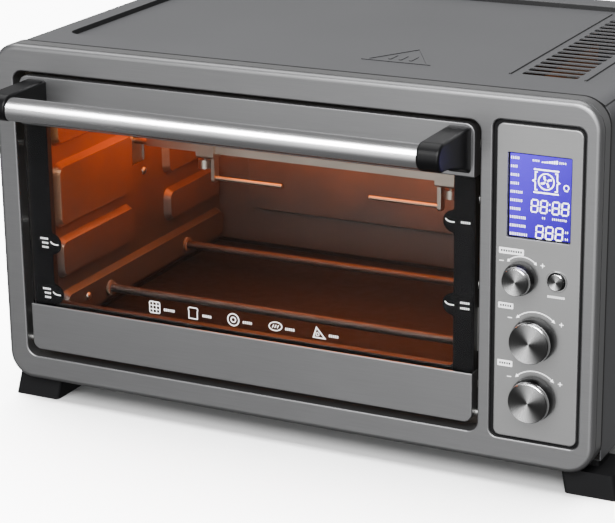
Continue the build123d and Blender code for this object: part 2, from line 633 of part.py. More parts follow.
# ---------------------------------------------------------------------------
# Convection fan on its motor, in the compartment beside the cavity
# ---------------------------------------------------------------------------
MOTOR_END = 434.0
FAN_SHAFT_X = (379.0, 452.0)
with BuildPart() as convection_motor:
    with BuildSketch(side_plane(FAN_CUP_X)):
        disc(FAN_Y, FAN_Z, 22.0)
    extrude(amount=MOTOR_END - FAN_CUP_X)
    with BuildSketch(side_plane(FAN_CUP_X + 10)):
        rect((FAN_Y - 29, FAN_Y + 29), (FAN_Z - 27, FAN_Z + 27), 4.0)
    extrude(amount=18.0)
    with BuildSketch(side_plane(FAN_CUP_X)):
        disc(FAN_Y, FAN_Z, SHAFT_R + RUNNING)
    extrude(amount=MOTOR_END - FAN_CUP_X, mode=Mode.SUBTRACT)
save(convection_motor, "convection_motor")

with BuildPart() as fan_shaft:
    with BuildSketch(side_plane(FAN_SHAFT_X[0])):
        disc(FAN_Y, FAN_Z, SHAFT_R)
    extrude(amount=FAN_SHAFT_X[1] - FAN_SHAFT_X[0])
save(fan_shaft, "fan_shaft")

for name, x0, width, radius, blades in (("convection_fan", 380.0, 10.0, 44.0, 8),
                                        ("cooling_fan", 438.0, 9.0, 30.0, 6)):
    with BuildPart() as fan:
        with BuildSketch(side_plane(x0)):
            disc(FAN_Y, FAN_Z, 8.0)
            disc(FAN_Y, FAN_Z, SHAFT_R + RUNNING, mode=Mode.SUBTRACT)
        extrude(amount=width)
        with BuildSketch(side_plane(x0 + width - 1.2)):
            disc(FAN_Y, FAN_Z, radius * 0.8)
            disc(FAN_Y, FAN_Z, 7.0, mode=Mode.SUBTRACT)
        extrude(amount=1.2)
        with BuildSketch(side_plane(x0)):
            with Locations((FAN_Y, FAN_Z)):
                with PolarLocations(radius * 0.62, blades):
                    Rectangle(radius * 0.72, 1.2)
        extrude(amount=width)
    save(fan, name)

# ---------------------------------------------------------------------------
# Rotisserie: gear motor, drive socket, spit, forks with thumb screws, support
# ---------------------------------------------------------------------------
with BuildPart() as rotisserie_motor:
    with BuildSketch(side_plane(CAV_X[1] + SHEET)):
        disc(SPIT_Y, SPIT_Z, 23.0)
        disc(SPIT_Y, SPIT_Z, 4.0 + RUNNING, mode=Mode.SUBTRACT)
    extrude(amount=20.0)
save(rotisserie_motor, "rotisserie_motor")

SPIT_X = (25.6, 371.6)
SPIT_HALF = 3.0
with BuildPart() as drive_socket:
    with BuildSketch(side_plane(363.6)):
        disc(SPIT_Y, SPIT_Z, SOCKET_R)
    extrude(amount=CAV_X[1] - 363.6)
    with BuildSketch(side_plane(CAV_X[1])):
        disc(SPIT_Y, SPIT_Z, 4.0)
    extrude(amount=18.0)
    with BuildSketch(side_plane(363.6)):
        rect((SPIT_Y - 3.2, SPIT_Y + 3.2), (SPIT_Z - 3.2, SPIT_Z + 3.2))
    extrude(amount=8.2, mode=Mode.SUBTRACT)
save(drive_socket, "drive_socket")

with BuildPart() as spit_rod:
    with BuildSketch(side_plane(SPIT_X[0])):
        disc(SPIT_Y, SPIT_Z, SPIT_HALF)
    extrude(amount=20.0)
    with BuildSketch(side_plane(40.0)):
        rect((SPIT_Y - SPIT_HALF, SPIT_Y + SPIT_HALF), (SPIT_Z - SPIT_HALF, SPIT_Z + SPIT_HALF))
    extrude(amount=SPIT_X[1] - 40.0)
    chamfer(spit_rod.faces().sort_by(Axis.X)[-1].edges(), 1.5)
save(spit_rod, "spit_rod")

FORK_X = (96.0, 304.0)               # middle of each fork's hub
PRONG_SPREAD, PRONG_LENGTH, PRONG_R = 24.0, 62.0, 1.6
with BuildPart() as spit_forks:
    for hub_x, inward in ((FORK_X[0], 1), (FORK_X[1], -1)):
        plane = side_plane if inward > 0 else side_plane_left
        with BuildSketch(plane(hub_x - 8 * inward)):
            rect((inward * SPIT_Y - 7, inward * SPIT_Y + 7), (SPIT_Z - 7, SPIT_Z + 7), 2.0)
        extrude(amount=16.0)
        with BuildSketch(plane(hub_x + 4 * inward)):
            rect((inward * SPIT_Y - 4, inward * SPIT_Y + 4),
                 (SPIT_Z - PRONG_SPREAD - 3, SPIT_Z + PRONG_SPREAD + 3), 2.0)
        extrude(amount=3.0)
        with BuildSketch(plane(hub_x + 4 * inward)):
            disc(inward * SPIT_Y, SPIT_Z - PRONG_SPREAD, PRONG_R)
            disc(inward * SPIT_Y, SPIT_Z + PRONG_SPREAD, PRONG_R)
        extrude(amount=PRONG_LENGTH)
        with BuildSketch(plane(hub_x - 8 * inward)):
            rect((inward * SPIT_Y - 3.1, inward * SPIT_Y + 3.1), (SPIT_Z - 3.1, SPIT_Z + 3.1))
        extrude(amount=16.0, mode=Mode.SUBTRACT)
        with BuildSketch(level_plane(SPIT_Z)):
            disc(hub_x - 3 * inward, SPIT_Y, 2.1)
        extrude(amount=-8.0, mode=Mode.SUBTRACT)
save(spit_forks, "spit_forks")

with BuildPart() as fork_screws:
    for hub_x, inward in ((FORK_X[0], 1), (FORK_X[1], -1)):
        with BuildSketch(level_plane(SPIT_Z - 3.2)):
            disc(hub_x - 3 * inward, SPIT_Y, 2.0)
        extrude(amount=-8.0)
        with BuildSketch(level_plane(SPIT_Z - 9.0)):
            disc(hub_x - 3 * inward, SPIT_Y, 6.0)
        extrude(amount=-7.0)
save(fork_screws, "fork_screws")

with BuildPart() as spit_support:
    with BuildSketch(side_plane(26.6)):
        rect((135.0, 165.0), (128.0, 163.5), 3.0)
        rect((SPIT_Y - SPIT_HALF - 0.08, SPIT_Y + SPIT_HALF + 0.08), (SPIT_Z, 170.0),
             mode=Mode.SUBTRACT)
        disc(SPIT_Y, SPIT_Z, SPIT_HALF + 0.08, mode=Mode.SUBTRACT)
    extrude(amount=1.2)
    with BuildSketch(side_plane(27.8)):
        rect((135.0, 138.5), (130.0, 160.0))
        rect((161.5, 165.0), (130.0, 160.0))
    extrude(amount=CAV_X[0] - SHEET - 27.8)
save(spit_support, "spit_support")

# ---------------------------------------------------------------------------
# Power board in the compartment
# ---------------------------------------------------------------------------
with BuildPart() as power_board:
    with BuildSketch(level_plane(10.0)):
        rect((400.0, 466.0), (60.0, 170.0), 2.0)
    extrude(amount=1.6)
    with BuildSketch(level_plane(11.6)):
        for i in range(3):
            rect((404.0 + 20 * i, 420.0 + 20 * i), (66.0, 94.0), 1.0)
        rect((406.0, 446.0), (110.0, 146.0), 2.0)
    extrude(amount=18.0)
    with BuildSketch(level_plane(COVER_Z[0] + BASE_T)):
        for x in (405.5, 460.5):
            for y in (64.0, 166.0):
                disc(x, y, 3.0)
    extrude(amount=8.0)
save(power_board, "power_board")

# ---------------------------------------------------------------------------
# Door: glass between two steel trims on a folded inner frame
# ---------------------------------------------------------------------------
TRIM_T = 1.0
TRIM_DEPTH = 10.0
FRAME_FRONT = 5.8
door_shape = (DOOR_X, DOOR_Z, DOOR_CORNER)
inside_shape = (grow(DOOR_X, -TRIM_T), grow(DOOR_Z, -TRIM_T), DOOR_CORNER - TRIM_T)
for name, zs, keep_out in (("door_upper_trim", (WINDOW_Z[1], 260.0), (0.0, WINDOW_Z[1])),
                           ("door_lower_trim", (0.0, WINDOW_Z[0]), (WINDOW_Z[0], 260.0))):
    with BuildPart() as trim:
        with BuildSketch(front_plane(0)):
            rect(*door_shape)
            rect(grow(DOOR_X, 5), keep_out, mode=Mode.SUBTRACT)
        extrude(amount=-TRIM_DEPTH)
        fillet(trim.faces().sort_by(Axis.Y)[0].edges(), 0.9)
        with BuildSketch(front_plane(TRIM_T)):
            rect(*inside_shape)
        extrude(amount=-TRIM_DEPTH, mode=Mode.SUBTRACT)
        for x0 in (DOOR_X[0] - 1, DOOR_X[1] - 4):
            with BuildSketch(side_plane(x0)):
                disc(HINGE_Y, HINGE_Z, PIN_R + 0.2)
            extrude(amount=5.0, mode=Mode.SUBTRACT)
    save(trim, name)

with BuildPart() as door_glass:
    with BuildSketch(front_plane(1.4)):
        rect(grow(DOOR_X, -1.05), (32.0, 230.0), 3.0)
    extrude(amount=-4.0)
    fillet(door_glass.edges().filter_by(Axis.Z), 0.6)
save(door_glass, "door_glass")

FRAME_WINDOW_X, FRAME_WINDOW_Z = (37.6, 370.2), (60.6, 203.4)
with BuildPart() as door_inner_frame:
    frame_x, frame_z = grow(DOOR_X, -1.2), grow(DOOR_Z, -1.2)
    with BuildSketch(front_plane(FRAME_FRONT)):
        rect(frame_x, frame_z, 5.6)
        rect(FRAME_WINDOW_X, FRAME_WINDOW_Z, 5.0, mode=Mode.SUBTRACT)
    extrude(amount=-(DOOR_DEPTH - FRAME_FRONT))
    with BuildSketch(front_plane(FRAME_FRONT)):
        rect(grow(frame_x, -1.0), grow(frame_z, -1.0), 4.6)
        rect(grow(FRAME_WINDOW_X, 1.0), grow(FRAME_WINDOW_Z, 1.0), 6.0, mode=Mode.SUBTRACT)
    extrude(amount=-(DOOR_DEPTH - FRAME_FRONT - 1.0), mode=Mode.SUBTRACT)
    for x0 in (frame_x[0] - 1, frame_x[1] - 3):
        with BuildSketch(side_plane(x0)):
            disc(HINGE_Y, HINGE_Z, PIN_R + 0.2)
        extrude(amount=4.0, mode=Mode.SUBTRACT)
save(door_inner_frame, "door_inner_frame")

# Hinge blocks with their pins, in the inner frame's lower corners
BLOCK_X = (22.6, 35.0)
PIN_END = OPEN_X[0] - BEZEL_WALL + 0.2
with BuildPart() as door_hinges:
    for side in (0, 1):
        block = BLOCK_X if side == 0 else (MIRROR_X + 1.3 - BLOCK_X[1], MIRROR_X + 1.3 - BLOCK_X[0])
        pin = (PIN_END, block[0] + 1) if side == 0 else (block[1] - 1, MIRROR_X - PIN_END)
        with BuildSketch(side_plane(block[0])):
            rect((5.9, 10.9), (25.6, 36.0), 1.0)
        extrude(amount=block[1] - block[0])
        with BuildSketch(side_plane(pin[0])):
            disc(HINGE_Y, HINGE_Z, PIN_R)
        extrude(amount=pin[1] - pin[0])
save(door_hinges, "door_hinges")


def arm_arc(radius, start, end):
    """Arc of the quadrant arm, about the hinge axis; angles from +Y towards +Z."""
    CenterArc((HINGE_Y, HINGE_Z), radius, start, end - start)


def sector(r_in, r_out, start, end):
    """Ring sector about the hinge axis."""
    def point(radius, angle):
        return (HINGE_Y + radius * math.cos(math.radians(angle)),
                HINGE_Z + radius * math.sin(math.radians(angle)))
    with BuildLine() as outline:
        arm_arc(r_out, start, end)
        Line(point(r_out, end), point(r_in, end))
        arm_arc(r_in, start, end)
        Line(point(r_in, start), point(r_out, start))
    return outline


ARM_START, ARM_END = -10.0, 85.8
with BuildPart() as door_arms:
    for x0 in (ARM_X[0], MIRROR_X - ARM_X[1]):
        with BuildSketch(side_plane(x0)):
            make_face(sector(ARM_R[0], ARM_R[1], ARM_START, ARM_END).edges())
        extrude(amount=ARM_X[1] - ARM_X[0])
        with BuildSketch(side_plane(x0)):
            make_face(sector(ARM_R[0] - 4, ARM_R[1] + 4, ARM_START, ARM_START + 6).edges())
        extrude(amount=ARM_X[1] - ARM_X[0])
        with BuildSketch(front_plane(DOOR_DEPTH)):
            rect((x0 - 2.0, x0 + 9.0), (72.0, 104.0), 2.0)
        extrude(amount=-1.2)
save(door_arms, "door_arms")

# Handle: tube between two moulded brackets
with BuildPart() as handle_bar:
    with BuildSketch(side_plane(HANDLE_X[0])):
        disc(HANDLE_Y, HANDLE_Z, HANDLE_R)
        disc(HANDLE_Y, HANDLE_Z, HANDLE_R - 1.5, mode=Mode.SUBTRACT)
    extrude(amount=HANDLE_X[1] - HANDLE_X[0])
save(handle_bar, "handle_bar")

CAP_R = 10.0
for side, x0 in BRACKET_XS.items():
    with BuildPart() as bracket:
        with BuildSketch(side_plane(x0)):
            with BuildLine():
                Line((-0.1, 204.5), (-0.1, 237.0))
                Line((-0.1, 237.0), (HANDLE_FRONT + CAP_R, 237.0))
                ThreePointArc((HANDLE_FRONT + CAP_R, 237.0), (HANDLE_FRONT, 227.0),
                              (HANDLE_FRONT + CAP_R, 217.0))
                Spline((HANDLE_FRONT + CAP_R, 217.0), (-24.0, 213.0), (-0.1, 204.5),
                       tangents=((1, 0), (0.8, -0.6)))
            make_face()
        extrude(amount=BRACKET_W)
        side_edges = bracket.faces().filter_by(Axis.X).edges()
        fillet(side_edges.filter_by(lambda edge: edge.center().Y < DATUM_Y - 1), 2.0)
        socket_x = x0 + BRACKET_W if side == "left" else x0
        direction = -1 if side == "left" else 1
        with BuildSketch(side_plane(socket_x)):
            disc(HANDLE_Y, HANDLE_Z, HANDLE_R + RUNNING)
        extrude(amount=SOCKET * direction, mode=Mode.SUBTRACT)
    save(bracket, f"handle_bracket_{side}")

# Screws: handle and arm screws ride on the door, the rest hold the body
with BuildPart() as door_screws:
    with BuildSketch(front_plane(DOOR_DEPTH)):
        for x0 in BRACKET_XS.values():
            disc(x0 + BRACKET_W / 2, 221.0, 4.0)
    extrude(amount=-1.8)
    fillet(door_screws.faces().group_by(Axis.Y)[-1].edges(), 0.8)
    for x0 in (ARM_X[0], MIRROR_X - ARM_X[1]):
        with BuildSketch(front_plane(DOOR_DEPTH + 1.2)):
            disc(x0 + 5.6, 78.0, 2.2)
            disc(x0 + 5.6, 98.0, 2.2)
        extrude(amount=-1.2)
save(door_screws, "door_screws")

FLANGE_SCREWS = [(x, z) for x in (21.0, MIRROR_X - 21.0) for z in (46.0, 120.0, 182.0, 222.0)]
with BuildPart() as body_screws:
    with BuildSketch(front_plane(FLANGE_Y)):
        for x, z in FLANGE_SCREWS:
            disc(x, z, 3.2)
    extrude(amount=1.8)
    with BuildSketch(side_plane(CAV_X[0] + PAD)):
        disc(57.0, 49.0, 3.2)
    extrude(amount=2.0)
    with BuildSketch(side_plane(CAV_X[0])):
        disc(158.0, 125.5, 3.2)
    extrude(amount=2.0)
    with BuildSketch(front_plane(REAR_Y)):
        for x in (12.0, 236.0, 460.0):
            for z in (12.0, 248.0):
                disc(x, z, 4.0)
    extrude(amount=-2.2)
    for x0, lean in ((FOOT_LEFT_X, -FOOT_LEAN), (FOOT_RIGHT_X, FOOT_LEAN)):
        for y0 in FOOT_YS:
            inner_x = min(max(x0 + FOOT_W / 2 - lean, 12.0), 462.0)
            with BuildSketch(level_plane(COVER_Z[0] + BASE_T)):
                disc(inner_x, y0 + 24.0, 4.0)
            extrude(amount=2.4)
save(body_screws, "body_screws")

# Door springs: close-wound extension springs beside the cavity, hooked to the arms
SPRING_Y, SPRING_Z, SPRING_R, WIRE_R = (80.0, 140.0), 21.0, 3.6, 0.5
with BuildPart() as door_springs:
    for x in ((ARM_X[0] + ARM_X[1]) / 2, MIRROR_X - (ARM_X[0] + ARM_X[1]) / 2):
        start = Plane(origin=(DATUM_X + x, DATUM_Y + SPRING_Y[0], DATUM_Z + SPRING_Z),
                      x_dir=(1, 0, 0), z_dir=(0, 1, 0))
        coil = Helix(pitch=3.0, height=SPRING_Y[1] - SPRING_Y[0], radius=SPRING_R,
                     mode=Mode.PRIVATE).moved(start.location)
        with BuildSketch(Plane(origin=coil @ 0, z_dir=coil % 0)):
            Circle(WIRE_R)
        sweep(path=coil)
        with BuildSketch(front_plane(SPRING_Y[1])):
            disc(x + SPRING_R, SPRING_Z, WIRE_R)
        extrude(amount=-8.0)
save(door_springs, "door_springs")
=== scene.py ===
# %% [markdown]
# # A countertop toaster oven, finished around its engineering model
# The engineering model gives every casing, hinge, knob and shaft its place and size. This
# lesson adds what the eye judges: brushed and painted steel, glass with its printed bands, a lit
# display, turned knob faces, screws with real recesses, and the warm light inside the oven.
# Everything is in metres, in the engineering model's own frame, so nothing has to be fitted.

# %% Load the frame
import json
import math

import bmesh
import bpy
from mathutils import Matrix, Vector

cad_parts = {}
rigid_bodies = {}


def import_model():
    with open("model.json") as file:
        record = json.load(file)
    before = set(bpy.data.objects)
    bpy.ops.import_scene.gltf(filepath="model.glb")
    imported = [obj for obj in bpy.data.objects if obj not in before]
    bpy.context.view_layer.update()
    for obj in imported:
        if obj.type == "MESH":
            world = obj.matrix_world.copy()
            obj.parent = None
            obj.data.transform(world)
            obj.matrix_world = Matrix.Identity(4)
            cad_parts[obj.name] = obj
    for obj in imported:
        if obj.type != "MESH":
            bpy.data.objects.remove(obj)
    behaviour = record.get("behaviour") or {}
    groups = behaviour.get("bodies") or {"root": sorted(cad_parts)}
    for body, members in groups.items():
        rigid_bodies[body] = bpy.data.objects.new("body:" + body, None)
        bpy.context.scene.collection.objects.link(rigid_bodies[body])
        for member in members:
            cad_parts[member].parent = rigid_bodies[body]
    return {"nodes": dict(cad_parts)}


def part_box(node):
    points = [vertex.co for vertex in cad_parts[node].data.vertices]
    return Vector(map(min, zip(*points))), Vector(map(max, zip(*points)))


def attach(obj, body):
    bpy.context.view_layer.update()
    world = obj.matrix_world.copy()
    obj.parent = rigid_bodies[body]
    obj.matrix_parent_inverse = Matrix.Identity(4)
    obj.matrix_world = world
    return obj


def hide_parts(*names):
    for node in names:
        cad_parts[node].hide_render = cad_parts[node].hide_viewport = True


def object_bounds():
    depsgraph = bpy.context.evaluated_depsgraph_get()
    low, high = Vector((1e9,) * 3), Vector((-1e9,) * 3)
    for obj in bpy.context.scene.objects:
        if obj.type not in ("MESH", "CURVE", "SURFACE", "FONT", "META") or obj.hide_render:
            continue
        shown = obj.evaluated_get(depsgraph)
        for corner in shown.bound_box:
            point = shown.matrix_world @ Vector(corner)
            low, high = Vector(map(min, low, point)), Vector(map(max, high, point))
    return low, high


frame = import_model()
cad_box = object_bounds()
nodes = frame["nodes"]
print("nodes", len(nodes), "size mm", [round(1000 * v) for v in cad_box[1] - cad_box[0]])

# %% [markdown]
# ## One ruler for the front
# Every mark on the front is measured from the lower left corner of the bezel's flat face, in
# millimetres, as it would be on a printer's drawing. `at` turns such a measure into a place.

# %% The front's ruler
EDGE = 0.004                                     # rolled edge round the bezel's flat face
bezel_low, bezel_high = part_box("front_bezel")
DATUM = Vector((bezel_low.x + EDGE, bezel_low.y, bezel_low.z + EDGE))


def at(x, y, z):
    """Place x right, y behind and z above the corner of the bezel's flat face, in millimetres."""
    return DATUM + Vector((x, y, z)) / 1000


def span(node):
    """Lowest and highest corner of a node in the front's millimetres."""
    low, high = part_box(node)
    return (low - DATUM) * 1000, (high - DATUM) * 1000


def middle(node):
    """The x and z of a node's middle, in the front's millimetres."""
    low, high = span(node)
    return (low.x + high.x) / 2, (low.z + high.z) / 2


print("face width mm", round(1000 * (bezel_high.x - bezel_low.x - 2 * EDGE), 1))

# %% [markdown]
# ## Camera
# A long lens from the upper right, as for a catalogue picture: it shows the front, the top and a
# little of the right side with almost no distortion.

# %% Camera
CAMERA_AT = at(915.2, -1311.5, 608.2)
CAMERA_YAW, CAMERA_PITCH, CAMERA_ROLL = (math.radians(a) for a in (26.607, 18.244, -0.782))
LENS_MM = 126.26

camera = bpy.data.objects.new("camera", bpy.data.cameras.new("camera"))
camera.data.lens = LENS_MM
camera.data.clip_start = 0.05
forward = Vector((-math.sin(CAMERA_YAW) * math.cos(CAMERA_PITCH),
                  math.cos(CAMERA_YAW) * math.cos(CAMERA_PITCH), -math.sin(CAMERA_PITCH)))
level_right = forward.cross(Vector((0, 0, 1))).normalized()
level_up = level_right.cross(forward)
right = level_right * math.cos(CAMERA_ROLL) + level_up * math.sin(CAMERA_ROLL)
up = right.cross(forward)
axes = Matrix((right, up, -forward)).transposed()
camera.matrix_world = Matrix.Translation(CAMERA_AT) @ axes.to_4x4()
bpy.context.collection.objects.link(camera)
bpy.context.scene.camera = camera
print("camera distance m", round(CAMERA_AT.length, 3))

# %% [markdown]
# ## Sockets as numbers
# A node tree is easier to read when its maths looks like maths. `Wire` wraps one socket, and
# adding, multiplying or comparing wires adds the Math nodes. It serves materials and geometry
# trees alike. `Graph.node` is the one way in which any other node is made.


# %% Wire and Graph
class Wire:
    """One value in a node tree. Arithmetic on it adds Math nodes to the same tree."""

    def __init__(self, graph, socket):
        self.graph, self.socket = graph, socket

    def math(self, operation, *others, clamp=False):
        settings = {"operation": operation, "use_clamp": clamp}
        inputs = dict(enumerate((self, *others)))
        return self.graph.node("ShaderNodeMath", settings, inputs)

    def __add__(self, other):
        return self.math("ADD", other)

    __radd__ = __add__

    def __mul__(self, other):
        return self.math("MULTIPLY", other)

    __rmul__ = __mul__

    def __sub__(self, other):
        return self.math("SUBTRACT", other)

    def __rsub__(self, other):
        return self.math("MULTIPLY_ADD", -1.0, other)

    def __truediv__(self, other):
        return self.math("DIVIDE", other)

    def __pow__(self, other):
        return self.math("POWER", other)

    def __gt__(self, other):
        return self.math("GREATER_THAN", other)

    def __lt__(self, other):
        return self.math("LESS_THAN", other)

    def __abs__(self):
        return self.math("ABSOLUTE")

    def clamp(self):
        return self.math("ADD", 0.0, clamp=True)


class Graph:
    """A node tree with one method that makes every kind of node."""

    def __init__(self, tree):
        self.tree = tree

    def plug(self, socket, value):
        if isinstance(value, Wire):
            self.tree.links.new(value.socket, socket)
        elif socket.type == "RGBA" and len(value) == 3:
            socket.default_value = (*value, 1.0)
        else:
            socket.default_value = value

    def node(self, kind, settings=None, inputs=None, out=0):
        """Adds a node: its settings first, then the values or wires of its sockets."""
        node = self.tree.nodes.new(kind)
        for name, value in (settings or {}).items():
            if name == "stops":
                ramp = node.color_ramp
                while len(ramp.elements) < len(value):
                    ramp.elements.new(1.0)
                for stop, (place, colour) in zip(ramp.elements, value):
                    stop.position, stop.color = place, (*colour, 1.0)
            else:
                setattr(node, name, value)
        for name, value in (inputs or {}).items():
            self.plug(node.inputs[name], value)
        return None if out is None else Wire(self, node.outputs[out])

    def part(self, vector, name):
        """The X, Y or Z of a vector."""
        return self.node("ShaderNodeSeparateXYZ", inputs={0: vector}, out=name)


class Finish(Graph):
    """A Principled material. Its patterns read the object's own coordinates, in metres."""

    def __init__(self, name, sockets=None):
        self.material = bpy.data.materials.new(name)
        self.material.use_nodes = True
        super().__init__(self.material.node_tree)
        self.shader = self.tree.nodes["Principled BSDF"]
        self.place = self.node("ShaderNodeTexCoord", out="Object")
        self.shade(sockets or {})

    def shade(self, sockets):
        for name, value in sockets.items():
            self.plug(self.shader.inputs[name], value)

    def noise(self, scale, detail=2.0, stretch=(1, 1, 1), roughness=0.5):
        """Noise in cells of 1 / scale metres, longer along an axis whose stretch is small."""
        place = self.node("ShaderNodeMapping", inputs={"Vector": self.place, "Scale": stretch})
        return self.node("ShaderNodeTexNoise",
                         inputs={"Vector": place, "Scale": scale, "Detail": detail,
                                 "Roughness": roughness})

    def mix(self, factor, low, high):
        """Colour low where factor is 0 and high where it is 1."""
        return self.node("ShaderNodeMix", {"data_type": "RGBA"},
                         {0: factor, 6: low, 7: high}, out=2)

    def axis(self, name):
        """The x, y or z of the place being shaded, as a wire."""
        return self.part(self.place, name)

    def scaled(self, tone, light):
        """A tone made lighter or darker."""
        return self.node("ShaderNodeVectorMath", {"operation": "SCALE"}, {0: tone, "Scale": light})

    def bump(self, height, distance, strength=1.0):
        normal = self.node("ShaderNodeBump", inputs={"Height": height, "Distance": distance,
                                                     "Strength": strength})
        self.shade({"Normal": normal})


# %% [markdown]
# ## Brushed dark steel
# The bezel, the two door trims and the control panel are steel sheet with a dark coating, brushed
# along the width before it was pressed. A brushed surface is fine scratches that are long one way
# and very short the other, so a noise stretched along X makes them. The scratches tilt the
# surface a little (bump), change its gloss and make its tone uneven. A slow second noise keeps
# large faces from looking like a computer's flat grey.


# %% Brushed steel
SCRATCH_PER_M = 2400.0                           # scratches side by side in one metre
GRAIN_STRETCH = (0.012, 1.0, 1.0)                # a scratch is about eighty times as long as wide


def brushed(name, tone, roughness, contrast=0.22, depth=0.00002, stretch=GRAIN_STRETCH,
            metallic=0.92, painted_shadow_behind=None):
    """Steel brushed along one axis, painted near black behind a depth as shadow, if one is given.
    """
    finish = Finish(name, {"Metallic": metallic})
    scratches = finish.noise(SCRATCH_PER_M, 3.0, stretch, 0.6)
    broad = finish.noise(9.0, 2.0)
    light = scratches * contrast + broad * 0.10 + (1.0 - contrast / 2 - 0.05)
    if painted_shadow_behind is not None:
        # Behind that depth the colour is near black: a painted shadow where the bezel meets the
        # cover.
        light = light * (1.0 - (finish.axis("Y") > painted_shadow_behind) * 0.97)
    colour = finish.scaled(tone, light)
    finish.shade({"Base Color": colour,
                  "Roughness": scratches * 0.16 + broad * 0.05 + (roughness - 0.10)})
    finish.bump(scratches, depth, 0.35)
    return finish.material


PAINTED_SHADOW_DEPTH = 0.0026                               # painted shadow: near-black band at the back of the bezel's skirt
bezel_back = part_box("front_bezel")[1].y
bezel_steel = brushed("bezel_steel", (0.30, 0.30, 0.305), 0.36,
                      painted_shadow_behind=bezel_back - PAINTED_SHADOW_DEPTH)
panel_steel = brushed("panel_steel", (0.42, 0.42, 0.42), 0.44, contrast=0.12)
handle_steel = brushed("handle_steel", (0.72, 0.72, 0.73), 0.24, contrast=0.14, metallic=1.0)
print("brushed steels", 3)

# %% [markdown]
# ## Satin cover paint
# The wrap-round cover and the back are painted, not brushed: a dark grey stoving enamel whose
# surface is slightly pebbled, like fine orange peel. Voronoi or noise would both do for the
# pebbles. Noise is softer, and its slow octave also gives the paint its uneven tone.


# %% Paint, plastics
FLAT_FROM = 0.72                                 # a face is a wall when its normal's Z is less


def painted(name, tone, roughness, pebble_m=0.0009, depth=0.00003, coat=0.0, shade_walls_above=None):
    """Stoved enamel with a fine orange peel; walls of a pressing above a given height get painted
    shade.
    """
    finish = Finish(name, {"Coat Weight": coat, "Coat Roughness": 0.25})
    pebbles = finish.noise(1 / pebble_m, 2.0)
    broad = finish.noise(7.0, 3.0)
    light = pebbles * 0.10 + broad * 0.22 + 0.84
    if shade_walls_above is not None:
        way = finish.node("ShaderNodeNewGeometry", out="True Normal")
        # Painted shade: steep walls high up, as in the tray pressed into the top, are darkened.
        wall = (abs(finish.part(way, "Z")) < FLAT_FROM) * (finish.axis("Z") > shade_walls_above)
        light = light * (1.0 - wall * 0.9)
    colour = finish.scaled(tone, light)
    finish.shade({"Base Color": colour, "Roughness": broad * 0.08 + pebbles * 0.06 + roughness})
    finish.bump(pebbles, depth, 0.3)
    return finish.material


def moulded(name, tone, roughness, texture_m=0.0006, depth=0.00002, specular=0.3):
    """Moulded plastic with the fine spark-eroded texture of its tool."""
    finish = Finish(name, {"Specular IOR Level": specular})
    grain = finish.noise(1 / texture_m, 3.0)
    broad = finish.noise(14.0, 2.0)
    colour = finish.mix(broad * 0.5 + grain * 0.4, tone, tuple(1.7 * c for c in tone))
    finish.shade({"Base Color": colour, "Roughness": grain * 0.14 + roughness})
    finish.bump(grain, depth, 0.4)
    return finish.material


TRAY_DEPTH = 0.0042                              # pressed tray in the top, and a hair more
cover_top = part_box("outer_cover")[1].z
# The walls of the pressed tray in the top get painted shade.
cover_paint = painted("cover_paint", (0.100, 0.101, 0.106), 0.36,
                      shade_walls_above=cover_top - TRAY_DEPTH)
base_paint = painted("base_paint", (0.016, 0.016, 0.017), 0.45)
matte_black = moulded("matte_black", (0.006, 0.006, 0.0065), 0.55, specular=0.15)
gloss_black = moulded("gloss_black", (0.003, 0.003, 0.0032), 0.14, texture_m=0.002,
                      depth=0.000004, specular=0.3)
satin_black = moulded("satin_black", (0.004, 0.004, 0.0044), 0.25, texture_m=0.0007,
                      depth=0.00001, specular=0.2)

# %% [markdown]
# ## Oven lining
# The cavity is aluminised steel: bright when new, with a mottled spangle, and already a little
# browned where it gets hottest. The orange towards the ceiling is partly that browning and partly
# the upper heaters' glow, painted into the colour. The spangle is a Voronoi pattern of a few
# millimetres, and the browning and the painted glow follow the height, because hot air gathers
# under the ceiling, where the heaters are.


# %% Lining
def lining(name, tone, browned_and_glow_tone, roughness=0.36, spangle_m=0.004):
    """Aluminised sheet that browns towards the ceiling, with the heaters' orange glow painted in.
    """
    finish = Finish(name, {"Metallic": 0.75})
    spangle = finish.node("ShaderNodeTexVoronoi", inputs={"Vector": finish.place,
                                                          "Scale": 1 / spangle_m}, out="Color")
    mottle = finish.node("ShaderNodeSeparateColor", inputs={0: spangle}, out="Red")
    broad = finish.noise(16.0, 3.0)
    low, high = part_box("cavity_left_wall")
    rise = (finish.axis("Z") - low.z) / (high.z - low.z)
    # Painted light: the orange towards the ceiling is partly browning and partly the upper heaters'
    # glow.
    browning_and_glow = (rise * 1.5 + broad * 0.5 - 0.5).clamp()
    light = mottle * 0.10 + broad * 0.12 + 0.89
    colour = finish.scaled(finish.mix(browning_and_glow, tone, browned_and_glow_tone), light)
    finish.shade({"Base Color": colour, "Roughness": mottle * 0.08 + broad * 0.12 + roughness})
    finish.bump(broad, 0.0002, 0.25)
    return finish.material


cavity_steel = lining("cavity_steel", (0.115, 0.115, 0.115), (0.46, 0.19, 0.06))
tray_steel = lining("tray_steel", (0.015, 0.017, 0.018), (0.022, 0.022, 0.022), roughness=0.42)
# Painted shade: the door's inner frame and the cavity's front flange are the cavity's sheet in a
# much darker tone, for the gaps round the door and under the window.
inner_frame_steel = lining("inner_frame_steel", (0.05, 0.05, 0.05), (0.06, 0.055, 0.05))
flange_steel = lining("flange_steel", (0.045, 0.038, 0.033), (0.05, 0.04, 0.03))

# %% [markdown]
# ## Plated and bare metals
# Screws, hinges, springs, spit and motor cans are small, so one function serves them all: a metal
# with a fine stained pattern, brighter or duller, smoother or rougher.


